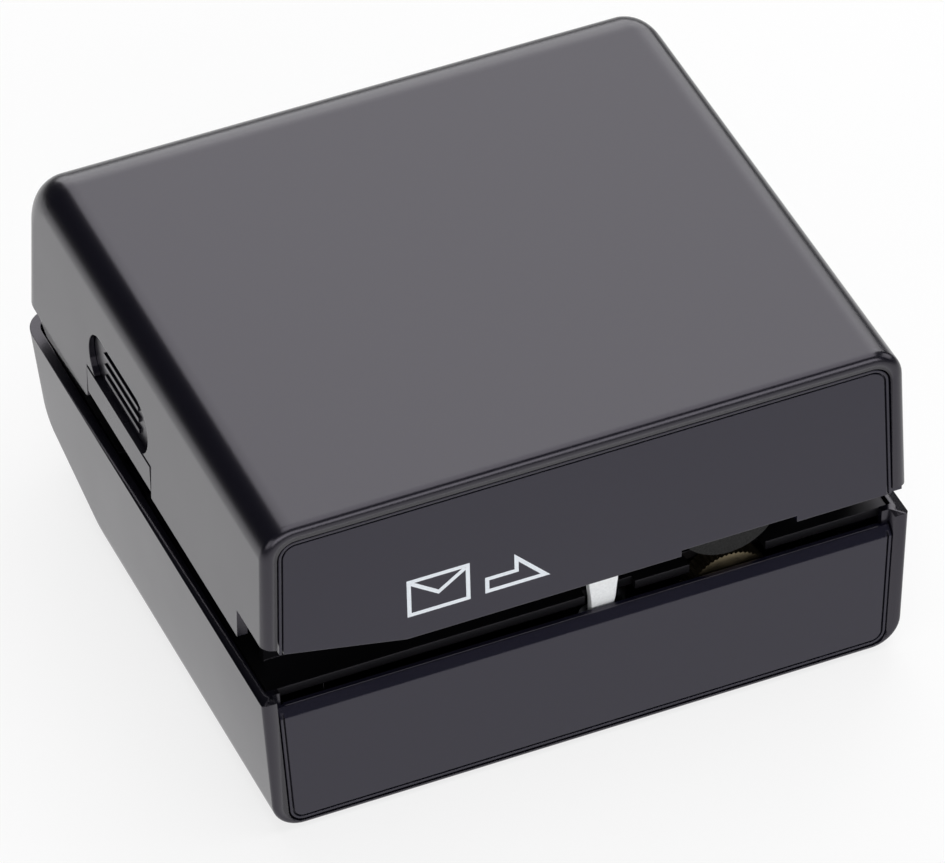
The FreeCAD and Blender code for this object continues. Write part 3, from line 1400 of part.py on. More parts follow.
def coil(name, radius, wire, length, turns, x, y, z, turn=FreeCAD.Rotation()):
    """A coil spring along +Z from its place."""
    thick = float(wire)
    helix = Part.makeHelix((length - 2 * thick) / turns, length - 2 * thick, float(radius))
    start = FreeCAD.Vector(float(radius), 0, 0)
    section = Part.Wire([Part.makeCircle(thick, start, FreeCAD.Vector(0, 1, 0))])
    path = Part.Wire(helix)
    path.translate(FreeCAD.Vector(0, 0, thick))
    section.translate(FreeCAD.Vector(0, 0, thick))
    spring = path.makePipeShell([section], True, True)
    made = doc.addObject("Part::Feature", name)
    made.Shape = spring
    return place(made, x, y, z, turn)


SPRING_TURNS = 7.0
SPRING_SLACK = 0.05  # a loaded spring's end to its seat, so that the two only touch
spring_length = float(bracket_low - spring_low) - 2 * SPRING_SLACK
part("pressure_spring", coil(
    "PressureSpring", S.spring_radius, S.spring_wire, spring_length, SPRING_TURNS,
    spring_x, arm_middle, spring_low + SPRING_SLACK,
))

# ---------------------------------------------------------------------------------------------
# Start lever, its pin and spring, and the switch that it presses
# ---------------------------------------------------------------------------------------------

shoulder_z = deck_low + S.deck_thick / 3
lever_top = slot_top + S.lever_rise
lever_blade = prism(
    "LeverBlade",
    "XZ_Plane",
    [
        (S.lever_x - S.lever_half, switch_z - S.lever_tail),
        (S.lever_x + S.lever_half, switch_z - S.lever_tail),
        (S.lever_x + S.lever_half, lever_z),
        (S.lever_x + S.lever_shoulder, shoulder_z),
        (S.lever_x + S.lever_top_right, lever_top),
        (S.lever_x - S.lever_top_left, lever_top),
        (S.lever_x - S.lever_half, shoulder_z),
    ],
    lever_y,
    lever_back,
)
hub_back = lever_back + S.lever_hub_past
lever = cut(
    "StartLever",
    fuse("LeverBlank", lever_blade, rod("LeverHub", "Y", S.lever_hub, lever_y, hub_back, S.lever_x, lever_z)),
    rod("LeverBore", "Y", S.lever_pin_radius + S.running_gap, lever_y - PAST, hub_back + PAST, S.lever_x, lever_z),
)
part("start_lever", lever)
pin_head = lever_y - FIT
lever_pin = fuse(
    "LeverPin",
    rod("LeverPinRod", "Y", S.lever_pin_radius, pin_head - NEAR, ear_back, S.lever_x, lever_z),
    rod("LeverPinHead", "Y", S.lever_pin_head, pin_head - S.side_gap, pin_head, S.lever_x, lever_z),
)
part("lever_pin", lever_pin)
LEVER_SPRING_TURNS = 5.0
lever_spring_length = float(ear_front - hub_back - 2 * FIT - FIT)
part("lever_spring", coil(
    "LeverSpring", S.lever_pin_radius + S.lever_spring_room, S.lever_spring_wire, lever_spring_length,
    LEVER_SPRING_TURNS, S.lever_x, hub_back + FIT, lever_z, ALONG["Y"],
))

switch_body = cut(
    "Microswitch",
    fuse(
        "SwitchBlock",
        box(
            "SwitchCase", switch_left, switch_right, lever_y, lever_y + S.switch_depth,
            switch_z - S.switch_half, switch_z + S.switch_half,
        ),
        box(
            "SwitchLeg", switch_left + FIT, switch_left + FIT + S.switch_leg,
            plunger_y, plunger_y + S.switch_leg_depth, switch_z - S.switch_half - S.switch_leg_drop, switch_z,
        ),
    ),
    rod(
        "PlungerBore", "X", S.plunger_radius + S.running_gap, switch_right - 2 * S.plunger_in,
        switch_right + PAST, plunger_y, switch_z,
    ),
)
part("microswitch", switch_body)
plunger_tip = S.lever_x - S.lever_half - S.switch_gap
plunger = rod(
    "SwitchPlunger", "X", S.plunger_radius, switch_right - S.plunger_in, plunger_tip, plunger_y, switch_z
)
part("switch_plunger", plunger)

# ---------------------------------------------------------------------------------------------
# Cell bay: tray, cells, contacts and the lid in the underside
# ---------------------------------------------------------------------------------------------

tray_outer = bay_half + S.bay_wall
LID_GRIPS = 4


RING_PITCH = 1.6  # rings of a loaded cell spring, in wire radii


def closed_coil(name, radius, wire, x, y, z):
    """A loaded cell spring: rings that lie on each other, along +Y."""
    radius, wire = float(radius), float(wire)
    reach = float(S.cell_spring) - 2 * wire
    steps = math.ceil(reach / (RING_PITCH * wire))
    rings = [
        Part.makeTorus(radius, wire, FreeCAD.Vector(0, wire + reach * i / steps, 0), FreeCAD.Vector(0, 1, 0))
        for i in range(steps + 1)
    ]
    return shaped(name, rings[0].fuse(rings[1:]), x, y, z)


tray = cut(
    "CellTray",
    box(
        "TrayBlock", -tray_outer, tray_outer, bay_front - S.bay_wall, bay_back + S.bay_wall,
        floor_top + S.side_gap, bay_top + S.bay_wall,
    ),
    box("TrayHollow", -bay_half, bay_half, bay_front, bay_back, floor_top - PAST, bay_top),
)
part("battery_tray", tray)

springs = []
plates = []
CELLS = 4
cell_end = cell_y + S.cell_length
for i in range(CELLS):
    x = (i - (CELLS - 1) / 2) * cell_pitch
    body = rod("CellBody", "Y", S.cell_radius, cell_y, cell_end - S.cell_nub, x, cell_z)
    nub = rod("CellNub", "Y", S.cell_nub_radius, cell_end - S.cell_nub - FIT, cell_end, x, cell_z)
    part("battery_cell_%d" % (i + 1), fuse("Cell", body, nub))
    spring_y = bay_front + S.contact_thick
    springs.append(closed_coil("CellSpring", S.cell_spring_radius, S.cell_spring_wire, x, spring_y, cell_z))
    for y0 in (bay_front, bay_back - S.contact_thick):
        plates.append(box(
            "Contact", x - S.contact_half, x + S.contact_half, y0, y0 + S.contact_thick,
            cell_z - S.contact_half, cell_z + S.contact_half,
        ))
part("battery_springs", group("CellSprings", springs))
part("contact_plates", group("Contacts", plates))

lid_top = base_low + S.lid_thick
skin_top = lid_step + S.running_gap
lid_back = back - S.heel_in - S.ramp_run + S.lid_behind
grips = []
for i in range(LID_GRIPS):
    grip_y = lid_front + S.grip_start + i * S.grip_pitch
    grips.append(box(
        "LidGrip", -S.grip_half, S.grip_half, grip_y, grip_y + S.grip_width, base_low - PAST, base_low + S.grip_deep
    ))
lid_blank = cut(
    "LidBlank",
    fuse(
        "LidSolid",
        box("LidSkin", -lid_half, lid_half, lid_front, FAR, base_low - PAST, skin_top),
        box("LidFlange", FIT - flange_half, flange_half - FIT, lid_front, FAR, skin_top, lid_top),
    ),
    box("LidEnd", -FAR, FAR, lid_back, FAR + FAR, base_low - PAST - PAST, floor_top),
    *grips,
)
part("battery_lid", common("BatteryLid", lid_blank, base_form))

# ---------------------------------------------------------------------------------------------
# Recompute, check and export
# ---------------------------------------------------------------------------------------------

doc.recompute()
for thing in doc.Objects:
    if "Invalid" in thing.State or "Error" in thing.State:
        raise RuntimeError("%s (%s) failed: %s" % (thing.Name, thing.Label, thing.State))
for thing in parts:
    if thing.Shape.isNull() or not thing.Shape.isValid():
        raise RuntimeError("%s has no valid shape" % thing.Label)
for thing in parts:
    thing.Shape.exportStep("parts/%s.step" % thing.Label)
print("%d sub-parts" % len(parts))
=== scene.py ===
# %% [markdown]
# # A small electric letter opener
# The machine is two dark plastic shells with a black gap between them. A letter runs along the gap at the
# front: past a white start lever, between a foam roller and a knurled brass wheel, and over a small steel
# cutter. The construction is loaded as a fixed frame; this lesson gives it its surfaces and fine details.

# %% Load the frame
import json
import math

import bmesh
import bpy
from mathutils import Matrix, Vector

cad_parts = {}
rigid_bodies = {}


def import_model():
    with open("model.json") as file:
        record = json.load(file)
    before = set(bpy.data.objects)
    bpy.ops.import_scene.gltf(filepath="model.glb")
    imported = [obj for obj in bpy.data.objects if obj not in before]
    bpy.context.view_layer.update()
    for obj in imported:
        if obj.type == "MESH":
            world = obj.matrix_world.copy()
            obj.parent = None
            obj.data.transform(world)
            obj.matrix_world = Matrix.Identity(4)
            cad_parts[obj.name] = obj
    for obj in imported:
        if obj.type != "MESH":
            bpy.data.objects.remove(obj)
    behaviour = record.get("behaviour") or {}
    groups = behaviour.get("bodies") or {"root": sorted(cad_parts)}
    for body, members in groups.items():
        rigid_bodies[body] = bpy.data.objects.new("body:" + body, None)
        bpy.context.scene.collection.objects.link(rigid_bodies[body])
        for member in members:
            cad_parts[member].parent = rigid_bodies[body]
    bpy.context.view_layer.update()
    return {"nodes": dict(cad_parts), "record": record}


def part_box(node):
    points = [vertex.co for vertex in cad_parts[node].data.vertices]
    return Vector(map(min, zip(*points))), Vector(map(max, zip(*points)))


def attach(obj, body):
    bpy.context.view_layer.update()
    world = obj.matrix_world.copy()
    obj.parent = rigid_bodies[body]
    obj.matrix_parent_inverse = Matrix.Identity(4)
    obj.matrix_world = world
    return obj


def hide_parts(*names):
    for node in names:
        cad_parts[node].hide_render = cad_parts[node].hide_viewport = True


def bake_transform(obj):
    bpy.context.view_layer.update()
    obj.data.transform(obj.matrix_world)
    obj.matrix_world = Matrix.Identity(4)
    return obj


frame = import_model()
nodes = frame["nodes"]
scene = bpy.context.scene
MM = 0.001

# %% [markdown]
# ## Camera
# The camera stands at the front left, well above the machine. Its long lens keeps parallel edges nearly
# parallel, which suits a small machine with straight sides. It could be turned by hand or made to track an
# empty. Here it is set from a place, a direction and a slight roll, which say exactly how the frame sits.

# %% Place the camera
CAMERA_PLACE = Vector((-490.82, -1206.71, 1139.27)) * MM
CAMERA_FORWARD = Vector((0.28820, 0.70431, -0.64876)).normalized()
CAMERA_ROLL = math.radians(-1.547)
LENS_MM = 332.0
SENSOR_MM = 36.0
NEAREST, FURTHEST = 0.05, 20.0  # metres

camera_data = bpy.data.cameras.new("camera")
camera_data.lens = LENS_MM
camera_data.sensor_width = SENSOR_MM
camera_data.sensor_fit = "HORIZONTAL"
camera_data.clip_start = NEAREST
camera_data.clip_end = FURTHEST
camera = bpy.data.objects.new("camera", camera_data)
scene.collection.objects.link(camera)

level_right = CAMERA_FORWARD.cross(Vector((0, 0, 1))).normalized()
camera_right = Matrix.Rotation(-CAMERA_ROLL, 3, CAMERA_FORWARD) @ level_right
camera_up = camera_right.cross(CAMERA_FORWARD)
turn = Matrix((camera_right, camera_up, -CAMERA_FORWARD)).transposed()
camera.matrix_world = Matrix.Translation(CAMERA_PLACE) @ turn.to_4x4()
scene.camera = camera
print("camera right vector:", [round(v, 4) for v in camera_right])

# %% [markdown]
# ## Two small helpers
# Every finish below is a tree of shader nodes, so one function adds a node with its settings and its
# links. Colours are written as the sRGB hex codes that a paint chart gives. A shader works with linear
# light, so one function turns a code to linear.

# %% Helpers for colours and nodes
def linear(code, share=1.0):
    """An sRGB hex colour as linear RGBA, made lighter or darker by share."""
    channels = [int(code[i:i + 2], 16) / 255 for i in (1, 3, 5)]
    light = [c / 12.92 if c <= 0.04045 else ((c + 0.055) / 1.055) ** 2.4 for c in channels]
    return tuple(min(1.0, c * share) for c in light) + (1.0,)


def add_node(tree, kind, settings=None, **inputs):
    """Adds a node, sets its properties, then sets or links its inputs.

    An input is given by its name with underscores for spaces, or as _3 for the fourth socket. A list
    of sockets is linked one by one to an input that takes several.
    """
    made = tree.nodes.new(kind)
    for name, value in (settings or {}).items():
        setattr(made, name, value)
    for name, value in inputs.items():
        key = int(name[1:]) if name.startswith("_") else name.replace("_", " ")
        socket = made.inputs[key]
        if isinstance(value, bpy.types.NodeSocket):
            tree.links.new(value, socket)
        elif isinstance(value, list):
            for each in value:
                tree.links.new(each, socket)
        else:
            socket.default_value = value
    return made


def new_material(name):
    """An empty material and its node tree."""
    material = bpy.data.materials.new(name)
    material.use_nodes = True
    material.node_tree.nodes.clear()
    return material, material.node_tree


print("black is", linear("#000000"), "and white is", linear("#ffffff"))

# %% [markdown]
# ## Floor
# Dark satin plastic shows mostly what it reflects, and a pale floor shows in the upright walls. A curved
# sweep is the usual choice, but it would show in the roundings, so the floor is one flat square. It is
# staged: it isn't a piece of the machine.

# %% Build the floor
FLOOR_HALF = 3.0  # metres

floor_corners = [(-1, -1), (1, -1), (1, 1), (-1, 1)]
floor_mesh = bpy.data.meshes.new("floor")
floor_mesh.from_pydata([(x * FLOOR_HALF, y * FLOOR_HALF, 0) for x, y in floor_corners], [], [(0, 1, 2, 3)])
floor = bpy.data.objects.new("floor", floor_mesh)
scene.collection.objects.link(floor)
print("floor:", 2 * FLOOR_HALF, "m square")

# %% [markdown]
# ## Paper
# The floor is plain matt paper. To the camera, most of its brightness is a steady white, so that it stays
# pale while the machine's own shadow still shows. In a reflection it glows: painted light, white near the
# machine and fading further off, like the pool a small lamp throws on a sheet, and that fading darkens the
# roundings. From underneath it is clear, so that the machine's underside can be looked at.

# %% Lay the paper
FLOOR_STEADY = 0.78  # share of the floor's brightness that takes no shadow
PAPER_NEAR = 0.15  # metres from the middle to where the lit paper starts to fade in reflections
PAPER_FAR = 0.55  # metres to where it has faded
PAPER_DIM = 0.12  # what is left there

paper, tree = new_material("white_paper_sweep")
rays = add_node(tree, "ShaderNodeLightPath")
seen = add_node(
    tree, "ShaderNodeMath", {"operation": "MULTIPLY"}, _0=rays.outputs["Is Camera Ray"], _1=FLOOR_STEADY
)
share = add_node(
    tree, "ShaderNodeMath", {"operation": "MAXIMUM"}, _0=seen.outputs[0], _1=rays.outputs["Is Glossy Ray"]
)
matt = add_node(tree, "ShaderNodeBsdfDiffuse", Color=linear("#f2f2f2"))
place = add_node(tree, "ShaderNodeTexCoord").outputs["Object"]
apart = add_node(tree, "ShaderNodeVectorMath", {"operation": "LENGTH"}, _0=place)
# Painted light: to reflections the floor glows white near the middle and fades further off, a painted pool
# of light.
fading = add_node(
    tree, "ShaderNodeMapRange", {"interpolation_type": "SMOOTHSTEP"}, Value=apart.outputs["Value"],
    _1=PAPER_NEAR, _2=PAPER_FAR, _3=1.0, _4=PAPER_DIM,
)
dimming = add_node(
    tree, "ShaderNodeMix", {"data_type": "FLOAT"}, _0=rays.outputs["Is Glossy Ray"], _2=1.0,
    _3=fading.outputs[0],
)
steady = add_node(tree, "ShaderNodeEmission", Color=linear("#ffffff"), Strength=dimming.outputs[0])
mixed = add_node(tree, "ShaderNodeMixShader", _0=share.outputs[0], _1=matt.outputs[0], _2=steady.outputs[0])
below = add_node(tree, "ShaderNodeNewGeometry").outputs["Backfacing"]
clear = add_node(tree, "ShaderNodeBsdfTransparent")
paper_out = add_node(tree, "ShaderNodeMixShader", _0=below, _1=mixed.outputs[0], _2=clear.outputs[0])
add_node(tree, "ShaderNodeOutputMaterial", Surface=paper_out.outputs[0])
floor_mesh.materials.append(paper)
print("paper nodes:", len(tree.nodes))

# %% [markdown]
# ## Softboxes
# Small lamps would leave hot spots on satin plastic, so every lamp is a wide softbox. A large one behind
# shows in the machine's top, and a low one behind carries that light on round the back and right
# roundings. Nothing bright stands behind on the left, nor over the camera, so the left and front roundings
# stay dark, which draws the outline of a black object. A wide one in front lights the printed signs
# and the lever; it hangs low, so that the sloped lip of the base doesn't mirror it.

# %% Hang the softboxes
MIDDLE = (0, 0, 0.04)  # of the machine, in metres


def softbox(name, place, target, size, watts):
    """A rectangular lamp that faces its target."""
    data = bpy.data.lights.new(name, "AREA")
    data.shape = "RECTANGLE"
    data.size, data.size_y = size
    data.energy = watts
    made = bpy.data.objects.new(name, data)
    direction = Vector(target) - Vector(place)
    facing = direction.to_track_quat("-Z", "Y").to_matrix().to_4x4()
    made.matrix_world = Matrix.Translation(Vector(place)) @ facing
    scene.collection.objects.link(made)


softbox("back_softbox", (0.50, 1.27, 1.18), MIDDLE, (1.7, 1.1), 12.3)
softbox("low_back_softbox", (0.71, 1.76, 0.46), MIDDLE, (1.9, 0.78), 9.3)
softbox("front_softbox", (-0.10, -2.20, 0.82), MIDDLE, (3.6, 1.15), 36.0)
softbox("left_softbox", (-2.30, -0.90, 0.90), MIDDLE, (1.8, 1.1), 10.0)
softbox("right_softbox", (2.30, -0.20, 0.90), MIDDLE, (1.8, 1.1), 10.0)
softbox("top_softbox", (0.40, 0.10, 2.0), (0.40, 0.10, 0), (2.1, 2.1), 30.0)

# %% [markdown]
# ## World
# The world is white to the camera and very dim to everything else. A white world that also lit the machine
# would fill the dark roundings, so a light-path node keeps the two apart.

# %% Set the world
WORLD_DIM = 0.05

world = bpy.data.worlds.new("studio")
world.use_nodes = True
scene.world = world
world.node_tree.nodes.clear()
rays = add_node(world.node_tree, "ShaderNodeLightPath")
dim = add_node(world.node_tree, "ShaderNodeBackground", Color=linear("#e4e8f0"), Strength=WORLD_DIM)
pale = add_node(world.node_tree, "ShaderNodeBackground", Color=linear("#ffffff"), Strength=1.0)
shown = add_node(
    world.node_tree, "ShaderNodeMixShader", _0=rays.outputs["Is Camera Ray"], _1=dim.outputs[0],
    _2=pale.outputs[0],
)
add_node(world.node_tree, "ShaderNodeOutputWorld", Surface=shown.outputs[0])
scene.view_settings.view_transform = "Standard"
print("world:", world.name, "at", WORLD_DIM)

# %% [markdown]
# ## Moulded plastics
# Both shells and the two front panels are ABS, moulded in tools whose steel was spark-eroded. The eroded
# grain breaks up every reflection. The colour is nearly black; the greys that the eye sees are reflections.
# So the recipe is a very dark base, a middling roughness that wanders slowly, for the uneven polish that
# handling gives, and a fine bump. Real edges are never knife sharp, and handling polishes them. A bevelled
# normal rounds the light there, and where it turns away from the face's own normal, the roughness drops.

# %% Plastic recipe
EDGE_MM = 0.28  # moulded edge radius
SHEEN = "#f7f1ff"  # the faint violet of the grey that this plastic reflects
TONE = 0.15  # how far the grain lightens and darkens the colour
POLISH_MM = 22  # spacing of the uneven polish
NOISE_LOW, NOISE_HIGH = 0.3, 0.7  # most of a noise's values lie between these
ON_FACE, ON_EDGE = 0.995, 0.90  # how alike the two normals are
EDGE_POLISH = 0.14  # roughness that handling takes off an edge


def plastic(
    name, colour, roughness, grain_mm, grain_depth_mm, ior=1.54, wander=0.04, gloss=0.5, edge_mm=EDGE_MM
):
    """Moulded plastic with an eroded grain, with its sizes in millimetres."""
    material, tree = new_material(name)
    place = add_node(tree, "ShaderNodeTexCoord").outputs["Object"]
    grain = add_node(
        tree, "ShaderNodeTexNoise", Vector=place, Scale=1.0 / (grain_mm * MM), Detail=2.0, Roughness=0.6
    ).outputs["Fac"]
    slow = add_node(
        tree, "ShaderNodeTexNoise", Vector=place, Scale=1.0 / (POLISH_MM * MM), Detail=3.0, Roughness=0.55
    ).outputs["Fac"]
    soft_edge = add_node(tree, "ShaderNodeBevel", {"samples": 4}, Radius=edge_mm * MM).outputs[0]
    face = add_node(tree, "ShaderNodeNewGeometry").outputs["Normal"]
    alike = add_node(tree, "ShaderNodeVectorMath", {"operation": "DOT_PRODUCT"}, _0=soft_edge, _1=face)
    worn = add_node(
        tree, "ShaderNodeMapRange", Value=alike.outputs["Value"], _1=ON_FACE, _2=ON_EDGE, _3=0.0,
        _4=EDGE_POLISH,
    )
    satin = add_node(
        tree, "ShaderNodeMapRange", Value=slow, _1=NOISE_LOW, _2=NOISE_HIGH, _3=roughness - wander,
        _4=roughness + wander,
    )
    rough = add_node(
        tree, "ShaderNodeMath", {"operation": "SUBTRACT"}, _0=satin.outputs[0], _1=worn.outputs[0]
    )
    tint = add_node(
        tree, "ShaderNodeMix", {"data_type": "RGBA"}, _0=grain, _6=linear(colour, 1 - TONE),
        _7=linear(colour, 1 + TONE),
    )
    bump = add_node(tree, "ShaderNodeBump", Distance=grain_depth_mm * MM, Height=grain, Normal=soft_edge)
    shader = add_node(
        tree, "ShaderNodeBsdfPrincipled", Base_Color=tint.outputs[2], Roughness=rough.outputs[0], IOR=ior,
        Specular_IOR_Level=gloss, Specular_Tint=linear(SHEEN), Normal=bump.outputs[0],
    )
    add_node(tree, "ShaderNodeOutputMaterial", Surface=shader.outputs[0])
    return material


# %% [markdown]
# ## Seven plastics
# The grains are drawn coarser than real ones, which a view of the whole machine couldn't show: eroded
# grain is really 0.05 to 0.1 mm. The shells and panels are one ABS; the panels' tool is a little finer, so
# they look a shade smoother and cooler. The inner parts are plain black ABS from an unpolished tool, and
# look duller. The lever is moulded white acetal, waxy and even. The gears are moulded nylon in its own
# ivory colour, as is the roller's hub, and the switch's plunger is nylon dyed in the mass, so it
# is one flat red. The grip ribs are too small for the shells' edge radius, so they get a finer one.

# %% The plastics
GRAIN_MM = 0.32
FINE_EDGE_MM = 0.07
SHELL, PANEL = "#0c0b13", "#0d0d1b"
finish = {
    "graphite_plastic": plastic("anthracite_abs", SHELL, 0.24, GRAIN_MM, 0.008, ior=1.57, wander=0.015),
    "panel_plastic": plastic("anthracite_abs_panel", PANEL, 0.23, GRAIN_MM, 0.006, ior=1.53, wander=0.015),
    "black_plastic": plastic("black_abs", "#09090b", 0.38, 0.5, 0.010, gloss=0.28),
    "white_plastic": plastic("white_acetal", "#e9ebec", 0.34, 0.5, 0.006, ior=1.48, wander=0.03),
    "nylon": plastic("natural_nylon", "#d9d2bd", 0.40, 0.6, 0.008, ior=1.53, wander=0.03),
    "red_nylon": plastic("dyed_nylon", "#9c2a22", 0.38, 0.5, 0.006, ior=1.53, wander=0.03),
}
ribbed_abs = plastic(
    "ribbed_abs", SHELL, 0.28, GRAIN_MM, 0.008, ior=1.57, wander=0.015, edge_mm=FINE_EDGE_MM
)
print("plastics:", [m.name for m in finish.values()] + [ribbed_abs.name])

# %% [markdown]
# ## Metals
# A metal's colour is its reflection, so what tells one from another is the mark of the tool. A noise
# stretched along one axis gives turned rings, and an even one gives grain or pores. The marks drive the
# roughness and a faint bump, and a slower noise darkens the colour where a surface has tarnished.

# %% Metal recipe
TARNISH_MM = 4.0


def metal(name, colour, dark_share, roughness, spread, stretch, scale_mm, depth_mm):
    """A metal whose fine texture is stretched by the three factors along X, Y and Z."""
    material, tree = new_material(name)
    place = add_node(tree, "ShaderNodeTexCoord").outputs["Object"]
    stretched = add_node(tree, "ShaderNodeMapping", Vector=place, Scale=stretch).outputs[0]
    marks = add_node(
        tree, "ShaderNodeTexNoise", Vector=stretched, Scale=1.0 / (scale_mm * MM), Detail=3.0, Roughness=0.6
    ).outputs["Fac"]
    tarnish = add_node(
        tree, "ShaderNodeTexNoise", Vector=place, Scale=1.0 / (TARNISH_MM * MM), Detail=2.0
    ).outputs["Fac"]
    tint = add_node(
        tree, "ShaderNodeMix", {"data_type": "RGBA"}, _0=tarnish, _6=linear(colour, dark_share),
        _7=linear(colour),
    )
    rough = add_node(
        tree, "ShaderNodeMapRange", Value=marks, _1=NOISE_LOW, _2=NOISE_HIGH, _3=roughness - spread,
        _4=roughness + spread,
    )
    bump = add_node(tree, "ShaderNodeBump", Distance=depth_mm * MM, Height=marks)
    shader = add_node(
        tree, "ShaderNodeBsdfPrincipled", Base_Color=tint.outputs[2], Metallic=1.0,
        Roughness=rough.outputs[0], Normal=bump.outputs[0],
    )
    add_node(tree, "ShaderNodeOutputMaterial", Surface=shader.outputs[0])
    return material


# %% [markdown]
# ## Four metals
# Shafts, pins and the cutter are turned steel. All of them lie along Y, so their rings come from a noise
# that changes fast along Y and hardly at all across it. Plates, springs, screws, the roller's arm and the
# motor's can are zinc plated: duller, with a faint spangle. The feed wheel is knurled brass, warm, with
# slow random tarnish; its colour and its tarnish are painted darker than real brass, as painted shade for
# the dark slot it turns in. The bushes are sintered bronze, matt, with pores that hold the oil. Rings and
# pores are drawn coarser than the real ones, which are under a tenth of a millimetre.

# %% The metals
EVEN = (1.0, 1.0, 1.0)
RINGS = (0.06, 1.0, 0.06)  # marks that run round the Y axis
finish["bright_steel"] = metal("turned_steel", "#c9c9cc", 0.80, 0.24, 0.08, RINGS, 0.20, 0.004)
finish["zinc_steel"] = metal("zinc_plated_steel", "#b9bcc2", 0.72, 0.36, 0.10, EVEN, 0.9, 0.004)
# Painted shade: the brass is coloured and tarnished darker than real brass, for the dark slot it turns in.
finish["brass"] = metal("knurled_brass", "#857a62", 0.35, 0.36, 0.08, RINGS, 0.25, 0.006)
finish["bronze"] = metal("sintered_bronze", "#a9774a", 0.60, 0.46, 0.10, EVEN, 0.18, 0.012)
print("metals:", [finish[s].name for s in ("bright_steel", "zinc_steel", "brass", "bronze")])

# %% [markdown]
# ## Foam and rubber
# The pressure roller's tyre is open-cell foam, blown in a block and ground round. Its pores are a third to
# half a millimetre across, and a Voronoi pattern gives them pale thin walls and mouths darkened as painted
# shade, which makes the tyre dull and soft. The feet are moulded rubber, matt, and the same pattern, much
# shallower, gives them faint pores with the same painted shade in their mouths. An image of pores would do
# too, but it would need its own unwrapped surface.

# %% Foam and rubber
MOUTH_ROUGHER = 0.1  # roughness that the mouth of a pore adds


def porous(name, colour, shaded_mouth_contrast, pore_mm, depth_mm, roughness):
    """A soft dark material whose surface is broken by pores, with painted shade in their mouths."""
    material, tree = new_material(name)
    place = add_node(tree, "ShaderNodeTexCoord").outputs["Object"]
    pores = add_node(
        tree, "ShaderNodeTexVoronoi", {"feature": "SMOOTH_F1"}, Vector=place, Scale=1.0 / (pore_mm * MM)
    ).outputs["Distance"]
    # Painted shade: each pore's mouth keeps the dark colour and its walls are made paler, as if the mouths
    # lay in shade.
    tint = add_node(
        tree, "ShaderNodeMix", {"data_type": "RGBA"}, _0=pores, _6=linear(colour),
        _7=linear(colour, shaded_mouth_contrast),
    )
    bump = add_node(tree, "ShaderNodeBump", Distance=depth_mm * MM, Height=pores)
    rough = add_node(
        tree, "ShaderNodeMapRange", Value=pores, _1=0.0, _2=1.0, _3=roughness + MOUTH_ROUGHER, _4=roughness
    )
    shader = add_node(
        tree, "ShaderNodeBsdfPrincipled", Base_Color=tint.outputs[2], Roughness=rough.outputs[0], IOR=1.5,
        Normal=bump.outputs[0],
    )
    add_node(tree, "ShaderNodeOutputMaterial", Surface=shader.outputs[0])
    return material


finish["foam_rubber"] = porous("open_cell_foam", "#0a0a0a", 3.2, 0.45, 0.20, 0.82)
finish["rubber"] = porous("moulded_rubber", "#131313", 1.6, 0.25, 0.02, 0.70)
print("soft finishes:", [finish[s].name for s in ("foam_rubber", "rubber")])

# %% [markdown]
# ## The cells' sleeve
# Each cell wears a sleeve of PVC film, printed, then shrunk on with heat. Shrinking leaves it glossy with
# long, shallow wrinkles, so its highlights waver. A pale band lies at one end of it. Two comparisons along
# Y draw the band, because the cells lie along Y.

# %% Sleeve
BAND_FROM_MM = 16.5  # along Y, where the pale band begins
BAND_TO_MM = 22.5
WRINKLE_MM = 5.0
WRINKLE_DEPTH_MM = 0.05
GLOSSY, LESS_GLOSSY = 0.16, 0.28
sleeve, tree = new_material("pvc_sleeve")
place = add_node(tree, "ShaderNodeTexCoord").outputs["Object"]
along = add_node(tree, "ShaderNodeSeparateXYZ", Vector=place).outputs["Y"]
after = add_node(tree, "ShaderNodeMath", {"operation": "GREATER_THAN"}, _0=along, _1=BAND_FROM_MM * MM)
before = add_node(tree, "ShaderNodeMath", {"operation": "LESS_THAN"}, _0=along, _1=BAND_TO_MM * MM)
band = add_node(
    tree, "ShaderNodeMath", {"operation": "MULTIPLY"}, _0=after.outputs[0], _1=before.outputs[0]
)
wrinkle = add_node(
    tree, "ShaderNodeTexNoise", Vector=place, Scale=1.0 / (WRINKLE_MM * MM), Detail=2.0
).outputs["Fac"]
paint = add_node(
    tree, "ShaderNodeMix", {"data_type": "RGBA"}, _0=band.outputs[0], _6=linear("#1f4a3a"),
    _7=linear("#c9cdc8"),
)
sheen = add_node(
    tree, "ShaderNodeMapRange", Value=wrinkle, _1=NOISE_LOW, _2=NOISE_HIGH, _3=GLOSSY, _4=LESS_GLOSSY
)
bump = add_node(tree, "ShaderNodeBump", Distance=WRINKLE_DEPTH_MM * MM, Height=wrinkle)
shader = add_node(
    tree, "ShaderNodeBsdfPrincipled", Base_Color=paint.outputs[2], Roughness=sheen.outputs[0], IOR=1.53,
    Normal=bump.outputs[0],
)
add_node(tree, "ShaderNodeOutputMaterial", Surface=shader.outputs[0])
finish["cell_wrap"] = sleeve
print("sleeve nodes:", len(tree.nodes))

# %% [markdown]
# ## Dress the frame
# The construction says which slot each piece takes its finish from, so one loop dresses every piece. The
# release tab alone is dressed by hand, in the finish with the finer edge, because of its grip ribs.

# %% Give every piece its finish
slot_of = {row["node"]: row["material_slot"] for row in frame["record"]["subparts"]}
for name, piece in nodes.items():
    piece.data.materials.clear()
    piece.data.materials.append(finish[slot_of[name]])
nodes["release_tab"].data.materials[0] = ribbed_abs
print("dressed:", len(slot_of), "pieces in", len(set(slot_of.values())), "finishes")

# %% [markdown]
# ## Smooth copies
# The frame comes as loose triangles, and light breaks on them where a face is rounded. A merged copy can
# carry smooth normals instead. Edges sharper than 28 degrees stay sharp, and each normal leans towards
# the larger of the faces beside it, so that a flat face beside a rounded edge stays flat to the eye.

